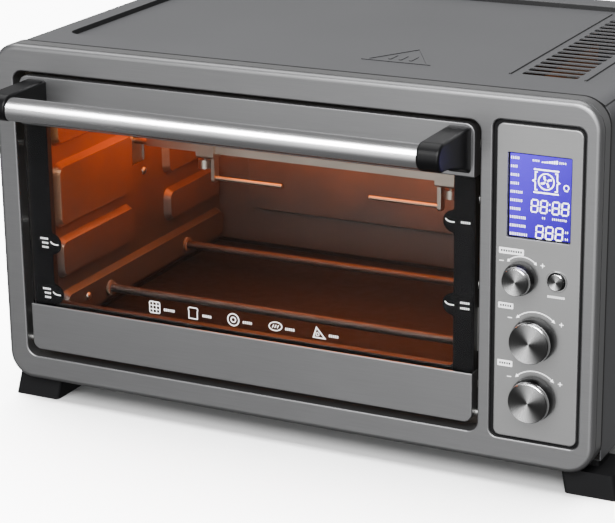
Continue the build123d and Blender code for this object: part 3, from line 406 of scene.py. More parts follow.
# %% Small metals
def metal(name, tone, roughness, stain_m=0.006, grain=(1, 1, 1)):
    """Bare or plated metal with faint stains and fine tool marks."""
    finish = Finish(name, {"Metallic": 1.0})
    stain = finish.noise(1 / stain_m, 4.0)
    marks = finish.noise(1500.0, 2.0, grain)
    light = stain * 0.30 + marks * 0.12 + 0.78
    colour = finish.scaled(tone, light)
    finish.shade({"Base Color": colour, "Roughness": stain * 0.14 + marks * 0.10 + roughness})
    finish.bump(marks, 0.00001, 0.3)
    return finish.material


zinc = metal("zinc_plate", (0.50, 0.50, 0.48), 0.26)
spit_metal = metal("spit_metal", (0.50, 0.46, 0.40), 0.20, stain_m=0.03, grain=(0.02, 1, 1))
chrome = metal("chrome", (0.80, 0.80, 0.80), 0.06, stain_m=0.02)
PAINTED_SHEEN_TILT = math.radians(75)                    # the painted bright wedges lie along this direction


def spun(name, tone, roughness):
    """Faced on a lathe; its sheen is painted: two bright and two dark wedges, from the stored
    place.
    """
    finish = Finish(name, {"Metallic": 1.0})
    place = finish.node("ShaderNodeAttribute", {"attribute_name": "from_axis"}, out="Vector")
    x, z = finish.part(place, "X"), finish.part(place, "Z")
    square = x * x + z * z + 1e-9
    double_cos, double_sin = (x * x - z * z) / square, x * z * 2.0 / square
    along = double_cos * math.cos(2 * PAINTED_SHEEN_TILT) + double_sin * math.sin(2 * PAINTED_SHEEN_TILT)
    # Painted highlight: the wedges brighten and darken the colour in place of the grooves' sheen.
    wedge = (along * 0.5 + 0.5) ** 2.2
    rings = (square.math("SQRT") * (math.tau / 0.0011)).math("SINE")
    light = wedge * 0.93 + rings * 0.03 + 0.06
    colour = finish.scaled(tone, light)
    finish.shade({"Base Color": colour, "Roughness": rings * 0.03 + roughness})
    return finish.material


spun_metal = spun("spun_metal", (0.92, 0.92, 0.92), 0.20)
motor_steel = metal("motor_steel", (0.42, 0.42, 0.41), 0.38)
fan_metal = metal("fan_metal", (0.50, 0.49, 0.46), 0.34)
probe_metal = metal("probe_metal", (0.60, 0.56, 0.50), 0.22)

# %% [markdown]
# ## Heaters, ceramic, boards and lamp
# The upper sheathed heaters glow a deep orange along their middle, where the wire inside is
# closest wound. Glow is emission, and its strength follows the distance from the ends.


# %% Heater, ceramic, board, lamp
def heater(name, glow):
    """Sheathed heater tube, oxidised, glowing in its middle when glow is above 0."""
    finish = Finish(name, {"Metallic": 0.6})
    oxide = finish.noise(220.0, 4.0)
    finish.shade({"Base Color": finish.mix(oxide, (0.04, 0.032, 0.028), (0.10, 0.08, 0.07)),
                  "Roughness": oxide * 0.2 + 0.42})
    finish.bump(oxide, 0.0001, 0.4)
    low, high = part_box("cavity_floor")
    middle, half = (low.x + high.x) / 2, (high.x - low.x) / 2
    ends = (abs(finish.axis("X") - middle) / half) ** 6.0
    hot = (1.0 - ends).clamp() * (oxide * 0.5 + 0.75)
    finish.shade({"Emission Color": finish.mix(hot, (0.0, 0.0, 0.0), (1.0, 0.17, 0.02)),
                  "Emission Strength": glow})
    return finish.material


hot_heater = heater("hot_heater", 2.0)
idle_heater = heater("idle_heater", 0.0)
ceramic = painted("ceramic", (0.16, 0.13, 0.10), 0.45)


def circuit_board(name):
    """Green solder resist over copper tracks that run along two directions."""
    finish = Finish(name, {"Specular IOR Level": 0.6})
    across = finish.noise(160.0, 1.0, (0.06, 1, 1))
    along = finish.noise(160.0, 1.0, (1, 0.06, 0.06))
    tracks = (across > 0.56).math("MAXIMUM", along > 0.58)
    colour = finish.mix(tracks, (0.012, 0.085, 0.035), (0.03, 0.16, 0.06))
    finish.shade({"Base Color": colour, "Roughness": 0.42 - tracks * 0.12})
    finish.bump(tracks, 0.00004, 0.5)
    return finish.material


board_green = circuit_board("board_green")
cooling_plastic = moulded("cooling_plastic", (0.16, 0.16, 0.15), 0.45)


def clear(name, tint, ior, roughness=0.02, lets_in=0.95):
    """Clear glass or acrylic. Lamps shine through it unbent, so what is behind stays lit."""
    finish = Finish(name, {"Base Color": tint, "Transmission Weight": 1.0, "IOR": ior})
    haze = finish.noise(30.0, 3.0)
    finish.shade({"Roughness": haze * 0.02 + roughness})
    shadow_ray = finish.node("ShaderNodeLightPath", out="Is Shadow Ray")
    through = finish.node("ShaderNodeBsdfTransparent",
                          inputs={"Color": tuple(lets_in * c for c in tint)})
    surface = finish.node("ShaderNodeMixShader",
                          inputs={0: shadow_ray, 1: Wire(finish, finish.shader.outputs[0]),
                                  2: through})
    output = finish.tree.nodes["Material Output"]
    finish.plug(output.inputs["Surface"], surface)
    return finish.material


door_glass = clear("door_glass", (0.95, 0.955, 0.95), 1.2, lets_in=0.35)
display_lens = clear("display_lens", (0.98, 0.98, 1.0), 1.04)
lamp_glass = clear("lamp_glass", (1.0, 0.93, 0.82), 1.4, 0.12)


def glowing(name, tone, strength):
    """Gives light of its own, a little uneven; real for the lamp and display, painted light on
    print.
    """
    finish = Finish(name, {"Base Color": tone, "Roughness": 0.4, "Emission Strength": strength})
    flicker = finish.noise(60.0, 2.0)
    bright = finish.mix(flicker, tuple(0.85 * c for c in tone), tone)
    finish.shade({"Emission Color": bright})
    return finish.material


lamp_glow = glowing("lamp_glow", (1.0, 0.62, 0.25), 3.0)

# %% [markdown]
# ## Dress the engineering model
# A casting, pressing or moulding whose shape is right only needs its finish. One table says which
# nodes get which material, and the loop fills the slots.

# %% Finishes of the nodes
FINISHES = {
    "front_bezel door_upper_trim door_lower_trim": bezel_steel,
    "control_panel": panel_steel,
    "handle_bar": handle_steel,
    "outer_cover rear_panel": cover_paint,
    "base_plate": base_paint,
    "feet panel_carrier rear_spacers mains_gland": matte_black,
    "handle_bracket_left handle_bracket_right": satin_black,
    "function_knob temperature_knob time_knob": gloss_black,
    "function_knob_cap temperature_knob_cap time_knob_cap start_button": spun_metal,
    "cavity_left_wall cavity_right_wall cavity_back_wall cavity_ceiling fan_grille": cavity_steel,
    "cavity_front_flange": flange_steel,
    "cavity_floor crumb_tray": tray_steel,
    "door_inner_frame": inner_frame_steel,
    "door_arms door_hinges door_screws door_springs body_screws spit_support fan_shaft": zinc,
    "function_knob_shaft temperature_knob_shaft time_knob_shaft": zinc,
    "upper_heaters": hot_heater,
    "lower_heaters": idle_heater,
    "heater_insulators": ceramic,
    "spit_rod spit_forks fork_screws drive_socket": spit_metal,
    "convection_fan": fan_metal,
    "cooling_fan": cooling_plastic,
    "convection_motor rotisserie_motor": motor_steel,
    "board_controls control_board power_board": board_green,
    "lamp_lens": lamp_glass,
    "oven_lamp": lamp_glow,
    "temperature_probe": probe_metal,
    "door_glass": door_glass,
    "lcd_lens": display_lens,
    "lcd_module": matte_black,
}
dressed = 0
for names, material in FINISHES.items():
    for name in names.split():
        for slot in nodes[name].material_slots:
            slot.material = material
        dressed += 1
print("nodes dressed", dressed, "of", len(nodes))

# %% [markdown]
# ## Prints and thin plates
# Screen prints are layers a few hundredths of a millimetre thick. They could be painted into the
# material, but then their edges blur up close. Here each print is a thin solid cut from outlines
# in the front's millimetres, so it stays crisp and moves with the part that it is printed on.


# %% The ink
ARC_STEP = math.radians(9)                       # an arc has a corner at least this often


def arc(x, z, radius, start, end):
    """Points along an arc about (x, z), from one angle to another, in degrees from +X to +Z."""
    start, end = math.radians(start), math.radians(end)
    steps = max(2, math.ceil(abs(end - start) / ARC_STEP))
    turns = (start + (end - start) * i / steps for i in range(steps + 1))
    return [(x + radius * math.cos(a), z + radius * math.sin(a)) for a in turns]


def pill(x0, x1, z0, z1, radius):
    """Outline of a rectangle with round corners, counter-clockwise."""
    return (arc(x1 - radius, z0 + radius, radius, -90, 0)
            + arc(x1 - radius, z1 - radius, radius, 0, 90)
            + arc(x0 + radius, z1 - radius, radius, 90, 180)
            + arc(x0 + radius, z0 + radius, radius, 180, 270))


class Ink:
    """Thin plates between two depths on the front, gathered into one mesh."""

    def __init__(self, front, back):
        self.front, self.back, self.points, self.faces = front, back, [], []

    def plate(self, outline):
        """A plate from one counter-clockwise outline."""
        first, count = len(self.points), len(outline)
        self.points += [at(x, self.front, z) for x, z in outline]
        self.points += [at(x, self.back, z) for x, z in outline]
        self.faces.append(tuple(range(first, first + count)))
        self.faces.append(tuple(range(first + 2 * count - 1, first + count - 1, -1)))
        for i in range(count):
            j = (i + 1) % count
            self.faces.append((first + i, first + count + i, first + count + j, first + j))
        return self

    def line(self, route, width, closed=False):
        """A stroke of one width along a route, mitred at its corners."""
        places = [Vector(p) for p in route]
        count = len(places)
        outer, inner = [], []
        for i, place in enumerate(places):
            before = places[(i - 1) % count] if closed or i else place
            after = places[(i + 1) % count] if closed or i < count - 1 else place
            ways = [w.normalized() for w in (place - before, after - place) if w.length > 0]
            along = sum(ways, Vector((0, 0))).normalized()
            side = Vector((along.y, -along.x))
            reach = width / 2 / max(0.35, side.dot(Vector((ways[0].y, -ways[0].x))))
            outer.append(place + side * reach)
            inner.append(place - side * reach)
        for i in range(count if closed else count - 1):
            j = (i + 1) % count
            self.plate([outer[i], outer[j], inner[j], inner[i]])
        return self

    def piece(self, name, material):
        mesh = bpy.data.meshes.new(name)
        mesh.from_pydata(self.points, [], self.faces)
        return placed(name, mesh, material)


def placed(name, mesh, material):
    """Puts a mesh in the scene as a piece of one material."""
    obj = bpy.data.objects.new(name, mesh)
    bpy.context.collection.objects.link(obj)
    mesh.materials.clear()
    mesh.materials.append(material)
    return obj


def settle(obj, body, slot, *stands_for):
    """Says which body a piece rides on and which nodes it stands for. The slot argument is not
    used.
    """
    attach(obj, body)
    if stands_for:
        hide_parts(*stands_for)
    print(obj.name, len(obj.data.polygons), "faces on", body)
    return obj


# %% [markdown]
# ## Rows by geometry nodes
# Words on this oven are replaced with rows of plain dashes, and the display has rows of equal
# segments. One geometry tree makes any such row: it sets a shape out along a step, as many times
# as asked. A loop in Python could do it too, but a tree keeps the count and the step editable.


# %% Row tree
class Recipe(Graph):
    """A geometry tree with named inputs. serve() applies it and gives a plain mesh."""

    def __init__(self, name, **kinds):
        tree = bpy.data.node_groups.new(name, "GeometryNodeTree")
        super().__init__(tree)
        tree.interface.new_socket("Geometry", in_out="INPUT", socket_type="NodeSocketGeometry")
        self.ids = {}
        for key, kind in kinds.items():
            socket = tree.interface.new_socket(key, in_out="INPUT", socket_type="NodeSocket" + kind)
            self.ids[key] = socket.identifier
        tree.interface.new_socket("Geometry", in_out="OUTPUT", socket_type="NodeSocketGeometry")
        self.entry = tree.nodes.new("NodeGroupInput")

    def given(self, key):
        return Wire(self, self.entry.outputs[key])

    def end(self, geometry, material):
        """Every recipe ends in real geometry with a material."""
        real = self.node("GeometryNodeRealizeInstances", inputs={"Geometry": geometry})
        named = self.node("GeometryNodeSetMaterial", inputs={"Geometry": real,
                                                             "Material": material})
        self.node("NodeGroupOutput", inputs={"Geometry": named}, out=None)

    def serve(self, name, material, start=None, **values):
        """Runs the recipe on a start mesh and returns the result as a plain object."""
        obj = bpy.data.objects.new(name, start or bpy.data.meshes.new(name + "_start"))
        bpy.context.collection.objects.link(obj)
        modifier = obj.modifiers.new(name, "NODES")
        modifier.node_group = self.tree
        for key, value in {**values, "Material": material}.items():
            modifier[self.ids[key]] = value
        graph = bpy.context.evaluated_depsgraph_get()
        mesh = bpy.data.meshes.new_from_object(obj.evaluated_get(graph))
        mesh.name = name
        bpy.data.objects.remove(obj)
        return placed(name, mesh, material)


row = Recipe("row_of_shapes", Shape="Object", Count="Int", Step="Vector", Material="Material")
stations = row.node("GeometryNodeMeshLine", inputs={"Count": row.given("Count"),
                                                    "Offset": row.given("Step")}, out="Mesh")
shape_info = row.node("GeometryNodeObjectInfo", inputs={"Object": row.given("Shape")},
                      out="Geometry")
copies = row.node("GeometryNodeInstanceOnPoints", inputs={"Points": stations,
                                                          "Instance": shape_info}, out="Instances")
row.end(copies, row.given("Material"))


def joined(name, parts, material):
    """Joins pieces into one mesh and removes them."""
    gathered = bmesh.new()
    for part in parts:
        gathered.from_mesh(part.data)
        bpy.data.objects.remove(part)
    mesh = bpy.data.meshes.new(name)
    gathered.to_mesh(mesh)
    gathered.free()
    return placed(name, mesh, material)


def dashes(x, z, count, ink, material, size=(0.95, 1.5), pitch=1.45):
    """A row of count dashes that starts at x and is centred on height z."""
    stroke = Ink(*ink).plate(pill(x, x + size[0], z - size[1] / 2, z + size[1] / 2, 0.2))
    stencil = stroke.piece("stencil", material)
    made = row.serve("dashes", material, Shape=stencil, Count=count,
                     Step=(pitch / 1000, 0.0, 0.0))
    bpy.data.objects.remove(stencil)
    return made


# %% [markdown]
# ## Printed bands on the door glass
# Black enamel is fired onto the inside of the glass at both ends, so that the hinges and the
# folded frame stay out of sight. A round tab reaches inwards at each rack height. The tab is a
# half disc with a small fillet where it leaves the band, all of it arcs.

# %% Bands
GLASS_LOW, GLASS_HIGH = span("door_glass")
WINDOW_X = (38.4, 369.4)
BAND_Z = (50.0, 210.0)
BAND_DEPTH = (GLASS_HIGH.y + 0.08, GLASS_HIGH.y + 0.14)
MARK_DEPTH = (GLASS_HIGH.y + 0.02, GLASS_HIGH.y + 0.06)
TAB_R, TAB_FILLET = 8.2, 2.0
TABS = {"left": (108.0, 67.4), "right": (167.4, 106.8)}
touch = math.degrees(math.acos(TAB_FILLET / (TAB_R + TAB_FILLET)))
rise = math.sqrt((TAB_R + TAB_FILLET) ** 2 - TAB_FILLET ** 2)


def band_edge(x, tabs):
    """Edge of a left-hand band, from its foot to its head, with a tab at each given height."""
    edge = [(x, BAND_Z[0])]
    for z in sorted(tabs):
        edge += arc(x + TAB_FILLET, z - rise, TAB_FILLET, 180, 180 - touch)
        edge += arc(x, z, TAB_R, -touch, touch)
        edge += arc(x + TAB_FILLET, z + rise, TAB_FILLET, 180 + touch, 180)
    return edge + [(x, BAND_Z[1])]


enamel = moulded("black_enamel", (0.004, 0.004, 0.0045), 0.40, texture_m=0.0004, depth=0.000003,
                 specular=0.05)
left_band = Ink(*BAND_DEPTH).plate([(GLASS_LOW.x + 0.3, BAND_Z[1]), (GLASS_LOW.x + 0.3, BAND_Z[0])]
                                   + band_edge(WINDOW_X[0], TABS["left"]))
settle(left_band.piece("glass_band_left", enamel), "door", "gloss_black")
mirrored = [(sum(WINDOW_X) - x, z) for x, z in band_edge(WINDOW_X[0], TABS["right"])]
right_band = Ink(*BAND_DEPTH).plate([(GLASS_HIGH.x - 0.3, BAND_Z[0]),
                                     (GLASS_HIGH.x - 0.3, BAND_Z[1])] + mirrored[::-1])
settle(right_band.piece("glass_band_right", enamel), "door", "gloss_black")

# %% [markdown]
# ## White marks on the glass
# Each tab carries a curved stroke for its rack height, and dashes stand in for the dish names.
# Along the foot of the window are five dish symbols: a rack, a slice, a ring, an oval and a wedge.

# %% White marks
# Painted light: the white print is given a glow of its own, so that it stays bright.
white_ink = glowing("white_ink", (0.9, 0.9, 0.9), 1.3)
marks = Ink(*MARK_DEPTH)
labels = []
SHELF_STROKE = 0.85


def shelf_mark(x, z):
    """A shallow hook, as of a rack seen from its end."""
    marks.line([(x - 3.4, z + 1.6), (x - 2.2, z + 0.2), (x, z - 0.5), (x + 3.4, z - 0.5)],
               SHELF_STROKE)


for z in TABS["left"]:
    shelf_mark(40.2, z)
    for line_up, letters in ((3.4, 5), (0.0, 4), (-3.4, 4)):
        labels.append(dashes(35.0 - 1.45 * letters, z + line_up, letters, MARK_DEPTH, white_ink))
for z, rows in zip(TABS["right"], ((0.0,), (2.0, -2.0))):
    shelf_mark(366.4, z)
    for line_up in rows:
        labels.append(dashes(374.6, z + line_up, 5, MARK_DEPTH, white_ink))

ICON_Z, ICON_HALF = 69.4, 4.4
ICON_X = (127.0, 160.0, 194.0, 229.0, 264.5)
x = ICON_X[0]
marks.line(pill(x - ICON_HALF, x + ICON_HALF, ICON_Z - ICON_HALF, ICON_Z + ICON_HALF, 1.2), 0.8,
           closed=True)
for offset in (-1.5, 1.5):
    marks.line([(x + offset, ICON_Z - ICON_HALF), (x + offset, ICON_Z + ICON_HALF)], 0.7)
    marks.line([(x - ICON_HALF, ICON_Z + offset), (x + ICON_HALF, ICON_Z + offset)], 0.7)
x = ICON_X[1]
slice_outline = [(x - 3.6, ICON_Z - 4.2), (x + 3.6, ICON_Z - 4.2), (x + 3.6, ICON_Z + 1.6)]
slice_outline += arc(x + 2.4, ICON_Z + 2.8, 1.6, -40, 100)
slice_outline += arc(x - 2.4, ICON_Z + 2.8, 1.6, 80, 220)
marks.line(slice_outline, 0.8, closed=True)
x = ICON_X[2]
for radius in (4.6, 1.9):
    marks.line(arc(x, ICON_Z, radius, 0, 351), 0.9, closed=True)
x = ICON_X[3]
oval = [(x + 5.2 * math.cos(a) + 0.6 * math.sin(a), ICON_Z + 3.3 * math.sin(a))
        for a in (math.tau * i / 28 for i in range(28))]
marks.line(oval, 0.8, closed=True)
for offset in (-2.0, 0.0, 2.0):
    marks.line([(x + offset - 0.6, ICON_Z - 1.2), (x + offset + 0.6, ICON_Z + 1.2)], 0.7)
x = ICON_X[4]
marks.line([(x - 4.6, ICON_Z - 3.6), (x + 4.8, ICON_Z - 3.6), (x - 2.0, ICON_Z + 4.2)], 0.9,
           closed=True)
marks.line(arc(x - 1.2, ICON_Z - 1.0, 1.2, 0, 324), 0.6, closed=True)
for x, letters in zip(ICON_X, (6, 5, 5, 5, 5)):
    labels.append(dashes(x + 8.0, ICON_Z - 0.8, letters, MARK_DEPTH, white_ink, (1.0, 2.0), 1.6))
glass_marks = joined("glass_marks", labels + [marks.piece("marks", white_ink)], white_ink)
settle(glass_marks, "door", "display")

# %% [markdown]
# ## Marks on the control panel
# Over each knob an arc with two arrow heads says that it turns both ways, between a minus and a
# plus. A white label with dashes stands over each, and one short row under the start button.

# %% Panel marks
PANEL_INK = (-0.04, 0.0)
LABEL_INK = (-0.06, -0.03)
KNOBS = {"function": 14.6, "temperature": 19.2, "time": 19.2}        # radius of the arc
LABELS = {"function": (404.7, 422.8, 150.8, 155.2), "temperature": (404.7, 415.8, 111.3, 115.5),
          "time": (404.7, 415.8, 68.8, 73.3)}
LABEL_PITCH = 1.75                               # from one dash on a label to the next
ARC_FROM, ARC_TO = 138.0, 42.0                   # ends of the arc, in degrees
panel = Ink(*PANEL_INK)
label_dashes = []
for knob, radius in KNOBS.items():
    x, z = middle(knob + "_knob")
    panel.line(arc(x, z, radius, ARC_FROM - 5, ARC_TO + 5), 0.75)
    for angle, way in ((ARC_FROM, 1), (ARC_TO, -1)):
        tip = arc(x, z, radius, angle, angle + 1)[0]
        outer = arc(x, z, radius + 1.3, angle - 8 * way, angle)[0]
        inner = arc(x, z, radius - 1.3, angle - 8 * way, angle)[0]
        panel.plate([tip, inner, outer] if way > 0 else [tip, outer, inner])
    for angle, vertical in ((ARC_FROM + 8, False), (ARC_TO - 8, True)):
        sx, sz = arc(x, z, radius + 3.4, angle, angle + 1)[0]
        panel.line([(sx - 1.6, sz), (sx + 1.6, sz)], 0.65)
        if vertical:
            panel.line([(sx, sz - 1.6), (sx, sz + 1.6)], 0.65)
    x0, x1, z0, z1 = LABELS[knob]
    panel.plate(pill(x0, x1, z0, z1, 0.6))
    letters = int((x1 - x0 - 2.0) / LABEL_PITCH)
    start_x = (x0 + x1) / 2 - letters * LABEL_PITCH / 2 + 0.3
    label_dashes.append(dashes(start_x, (z0 + z1) / 2, letters, LABEL_INK, matte_black,
                               (1.1, 1.6), LABEL_PITCH))
settle(panel.piece("panel_marks", white_ink), "oven_body", "display")
settle(joined("label_dashes", label_dashes, matte_black), "oven_body", "black_plastic")
button_low, button_high = span("start_button")
BUTTON_X, BUTTON_Z = middle("start_button")
under_button = dashes(BUTTON_X - 6.4, BUTTON_Z - 11.2, 9, PANEL_INK, white_ink, (0.9, 1.7), 1.42)
under_button.name = "button_label"
settle(under_button, "oven_body", "display")

# %% [markdown]
# ## Display
# The display is a backlit liquid-crystal glass: violet-blue light behind, white where a segment
# lets it through. The backlight is brighter in its upper left corner. Two rows of digits, a column
# of plain dashes, a level bar, a fan between two heater bars and a lamp make its picture.

# %% Display light
LCD_LOW, LCD_HIGH = span("lcd_module")
SEGMENT_DEPTH = (LCD_LOW.y - 0.09, LCD_LOW.y - 0.06)
LIGHT_DEPTH = (LCD_LOW.y - 0.04, LCD_LOW.y - 0.01)
backlight = Finish("display_light", {"Base Color": (0.004, 0.003, 0.02), "Roughness": 0.5,
                                     "Specular IOR Level": 0.05, "Emission Strength": 1.0})
lens_low, lens_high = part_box("lcd_lens")
across = (backlight.axis("X") - lens_low.x) / (lens_high.x - lens_low.x)
upward = (backlight.axis("Z") - lens_low.z) / (lens_high.z - lens_low.z)
corner = (upward * 0.65 + (1.0 - across) * 0.45 - 0.1).clamp() + backlight.noise(90.0) * 0.06
backlight.shade({"Emission Color": backlight.mix(corner, (0.06, 0.0, 0.66), (0.20, 0.05, 1.7))})
light_plate = Ink(*LIGHT_DEPTH).plate([(LCD_LOW.x, LCD_LOW.z), (LCD_HIGH.x, LCD_LOW.z),
                                       (LCD_HIGH.x, LCD_HIGH.z), (LCD_LOW.x, LCD_HIGH.z)])
settle(light_plate.piece("display_light", backlight.material), "oven_body", "display")

# %% Display picture
segment_glow = glowing("display_segments", (0.96, 0.96, 1.0), 2.4)
picture = Ink(*SEGMENT_DEPTH)
rows_of_dashes = []
MODE_LETTERS = (5, 4, 5, 5, 7, 7, 6, 9, 9, 10)
MODE_TOP, MODE_PITCH = 218.7, 5.95
for i, letters in enumerate(MODE_LETTERS):
    rows_of_dashes.append(dashes(411.6, MODE_TOP - i * MODE_PITCH, letters, SEGMENT_DEPTH,
                                 segment_glow, (0.5, 1.9), 1.3))
for x, z, letters in ((427.0, 218.2, 4), (446.0, 218.2, 4), (434.6, 178.6, 2), (441.8, 178.6, 8),
                      (451.2, 170.4, 2), (451.2, 165.6, 2)):
    rows_of_dashes.append(dashes(x, z, letters, SEGMENT_DEPTH, segment_glow, (0.5, 1.5), 1.35))
for i in range(7):
    picture.plate(pill(433.4 + 1.7 * i, 434.6 + 1.7 * i, 217.2, 217.9 + 0.28 * i, 0.2))


def eight(x, z, width, tall, slant=0.5):
    """A seven-segment eight whose lower left corner is at (x, z)."""
    half = tall / 2
    gap, stroke = 0.45, 0.95
    for level in (0.0, half, tall):
        lean = slant * level / tall
        picture.line([(x + lean + gap, z + level), (x + lean + width - gap, z + level)], stroke)
    for side in (0.0, width):
        for level in (0.0, half):
            foot = (x + side + slant * level / tall, z + level + gap)
            head = (x + side + slant * (level + half) / tall, z + level + half - gap)
            picture.line([foot, head], stroke)


for x in (426.4, 433.0, 441.6, 448.2):
    eight(x, 182.2, 4.6, 8.6)
for x in (430.2, 437.2, 444.2):
    eight(x, 164.2, 4.8, 8.6)
for z in (184.6, 188.6):
    picture.plate(pill(439.2, 440.3, z - 0.55, z + 0.55, 0.5))
FAN = (436.9, 204.2)
HALF_HOUSING = ((6.2, 6.2), (7.8, 6.2), (7.8, 1.0), (9.4, 0.0))
HOUSING = HALF_HOUSING + tuple((dx, -dz) for dx, dz in HALF_HOUSING[2::-1])
for z in (FAN[1] + 8.0, FAN[1] - 8.0):
    picture.line([(FAN[0] - 9.0, z), (FAN[0] + 9.0, z)], 1.0)
for side in (-1, 1):
    brace = [(FAN[0] + side * dx, FAN[1] + dz) for dx, dz in HOUSING]
    picture.line(brace[::-side], 0.9)
picture.line(arc(*FAN, 5.5, 0, 351), 0.85, closed=True)
for quarter in range(4):
    turn = 90 * quarter + 20
    root = arc(*FAN, 0.9, turn, turn + 1)[0]
    blade = [root] + [arc(*FAN, r, turn + a, turn + a + 1)[0] for r, a in ((2.4, 14), (4.2, 2))]
    picture.line(blade, 1.25)
picture.line(arc(451.2, 201.6, 1.7, -50, 230), 0.7)
picture.line([(450.0, 199.4), (452.4, 199.4)], 0.8)
display_picture = joined("display_picture",
                         rows_of_dashes + [picture.piece("picture", segment_glow)], segment_glow)
settle(display_picture, "oven_body", "display")

# %% [markdown]
# ## Turned metal faces
# The knob faces and the start button are aluminium, faced on a lathe. The tool leaves a fine groove
# that spirals outwards, so a geometry tree rolls a grid into a disc and lets a sine of the radius
# set its depth. The two bright wedges that one knows from such knobs are painted highlight: the
# finish brightens and darkens its colour by each point's place from the axis, stored here as an
# attribute.

# %% Turned faces
TURNS = 144                                      # corners round a turned face
PER_GROOVE = 4                                   # rings of faces across one groove
turned = Recipe("turned_face", Radius="Float", Chamfer="Float", Thickness="Float",
                Pitch="Float", Slope="Float", Dish="Float", Rings="Int", Centre="Vector",
                Material="Material")
radius_in, chamfer = turned.given("Radius"), turned.given("Chamfer")
grid = turned.node("GeometryNodeMeshGrid",
                   inputs={"Size X": 1.0, "Size Y": 1.0, "Vertices X": TURNS + 1,
                           "Vertices Y": turned.given("Rings") + 4.0}, out="Mesh")
spot = turned.node("GeometryNodeInputPosition")
angle = (turned.part(spot, "X") + 0.5) * -math.tau
ring = (turned.part(spot, "Y") + 0.5) * (turned.given("Rings") + 3.0)
past = ring - turned.given("Rings")              # 1 at the rim, 2 at the foot, 3 at the back
inside = (ring / turned.given("Rings")).math("MINIMUM", 1.0)
face_r = inside * (radius_in - chamfer)
reach = (face_r + chamfer * past.clamp()) * (1.0 - (past - 2.0).clamp())
fall = chamfer * past.clamp() + (turned.given("Thickness") - chamfer) * (past - 1.0).clamp()
wave = (face_r / turned.given("Pitch") * math.tau).math("SINE")
depth = turned.given("Slope") * turned.given("Pitch") / math.tau
groove = wave * depth * (ring < turned.given("Rings"))
dish = turned.given("Dish") * (1.0 - inside * inside)
flat = turned.node("ShaderNodeCombineXYZ", inputs={"X": reach * angle.math("COSINE"),
                                                   "Y": fall + groove + dish,
                                                   "Z": reach * angle.math("SINE")})
where = turned.node("ShaderNodeVectorMath", {"operation": "ADD"},
                    {0: flat, 1: turned.given("Centre")})
disc_shape = turned.node("GeometryNodeSetPosition", inputs={"Geometry": grid, "Position": where})
closed = turned.node("GeometryNodeMergeByDistance", inputs={"Geometry": disc_shape,
                                                            "Distance": 0.0000004})
off_axis = turned.node("ShaderNodeVectorMath", {"operation": "SUBTRACT"},
                       {0: turned.node("GeometryNodeInputPosition"), 1: turned.given("Centre")})
stored = turned.node("GeometryNodeStoreNamedAttribute",
                     {"data_type": "FLOAT_VECTOR", "domain": "POINT"},
                     {"Geometry": closed, "Name": "from_axis", "Value": off_axis})
turned.end(stored, turned.given("Material"))


def turned_face(name, node, material, radius, thickness, chamfer=0.4, pitch=0.42, slope=0.30,
                dish=0.25):
    """A turned disc at the front of a node, about the node's axis. Sizes in millimetres."""
    rings = round((radius - chamfer) / pitch) * PER_GROOVE
    x, z = middle(node)
    centre = at(x, span(node)[0].y, z)
    obj = turned.serve(name, material, Radius=radius / 1000, Chamfer=chamfer / 1000,
                       Thickness=thickness / 1000, Pitch=(radius - chamfer) / rings * PER_GROOVE
                       / 1000, Slope=slope, Dish=dish / 1000, Rings=rings, Centre=centre)
    obj.data.shade_smooth()
    obj.data.set_sharp_from_angle(angle=math.radians(35))
    return obj


# %% [markdown]
# ## Knob bodies
# A knob is turned about its own axis, so it is a lathe piece: a profile of radius against depth,
# carried round. The body is black and glossy, and a polished ring sits between it and the face.


# %% Lathe and knobs
def lathe(name, node, profile, material, segments=96):
    """A solid of revolution about a node's axis. profile is (radius, depth) in millimetres."""
    x, z = middle(node)
    body = bmesh.new()
    rings = []
    for radius, depth in profile:
        if radius == 0:
            rings.append([body.verts.new(at(x, depth, z))])
        else:
            rings.append([body.verts.new(at(x + radius * math.cos(a), depth,
                                            z + radius * math.sin(a)))
                          for a in (math.tau * i / segments for i in range(segments))])
    for one, two in zip(rings, rings[1:]):
        for i in range(segments):
            j = (i + 1) % segments
            corners = [one[i % len(one)], one[j % len(one)], two[j % len(two)], two[i % len(two)]]
            body.faces.new(list(dict.fromkeys(corners)))
    bmesh.ops.recalc_face_normals(body, faces=body.faces)
    mesh = bpy.data.meshes.new(name)
    body.to_mesh(mesh)
    body.free()
    mesh.shade_smooth()
    mesh.set_sharp_from_angle(angle=math.radians(32))
    return placed(name, mesh, material)


for knob in KNOBS:
    name, cap = knob + "_knob", knob + "_knob_cap"
    low, high = span(name)
    cap_low, cap_high = span(cap)
    base_r, face_r_mm = (high.x - low.x) / 2, (cap_high.x - cap_low.x) / 2
    step, foot = cap_high.y, high.y
    flank = [(0, step), (face_r_mm - 0.7, step), (face_r_mm - 0.7, step + 0.5),
             (face_r_mm + 0.1, step + 1.9), (face_r_mm + 0.3, step + 2.4),
             (base_r - 0.45, step + 4.6), (base_r - 0.1, step + 7.0), (base_r, foot - 1.4),
             (base_r - 0.15, foot - 0.5), (base_r - 0.6, foot), (0, foot)]
    settle(lathe(name + "_body", name, flank, gloss_black), name, "gloss_black", name)
    collar = [(face_r_mm - 0.6, step + 0.1), (face_r_mm - 0.1, step + 0.1),
              (face_r_mm + 0.55, step + 0.9), (face_r_mm + 0.65, step + 1.7),
              (face_r_mm + 0.35, step + 2.1), (face_r_mm - 0.6, step + 2.1),
              (face_r_mm - 0.6, step + 0.1)]
    settle(lathe(name + "_collar", name, collar, chrome), name, "spun_metal")
    settle(turned_face(name + "_face", cap, spun_metal, face_r_mm, step - cap_low.y), name,
           "spun_metal", cap)

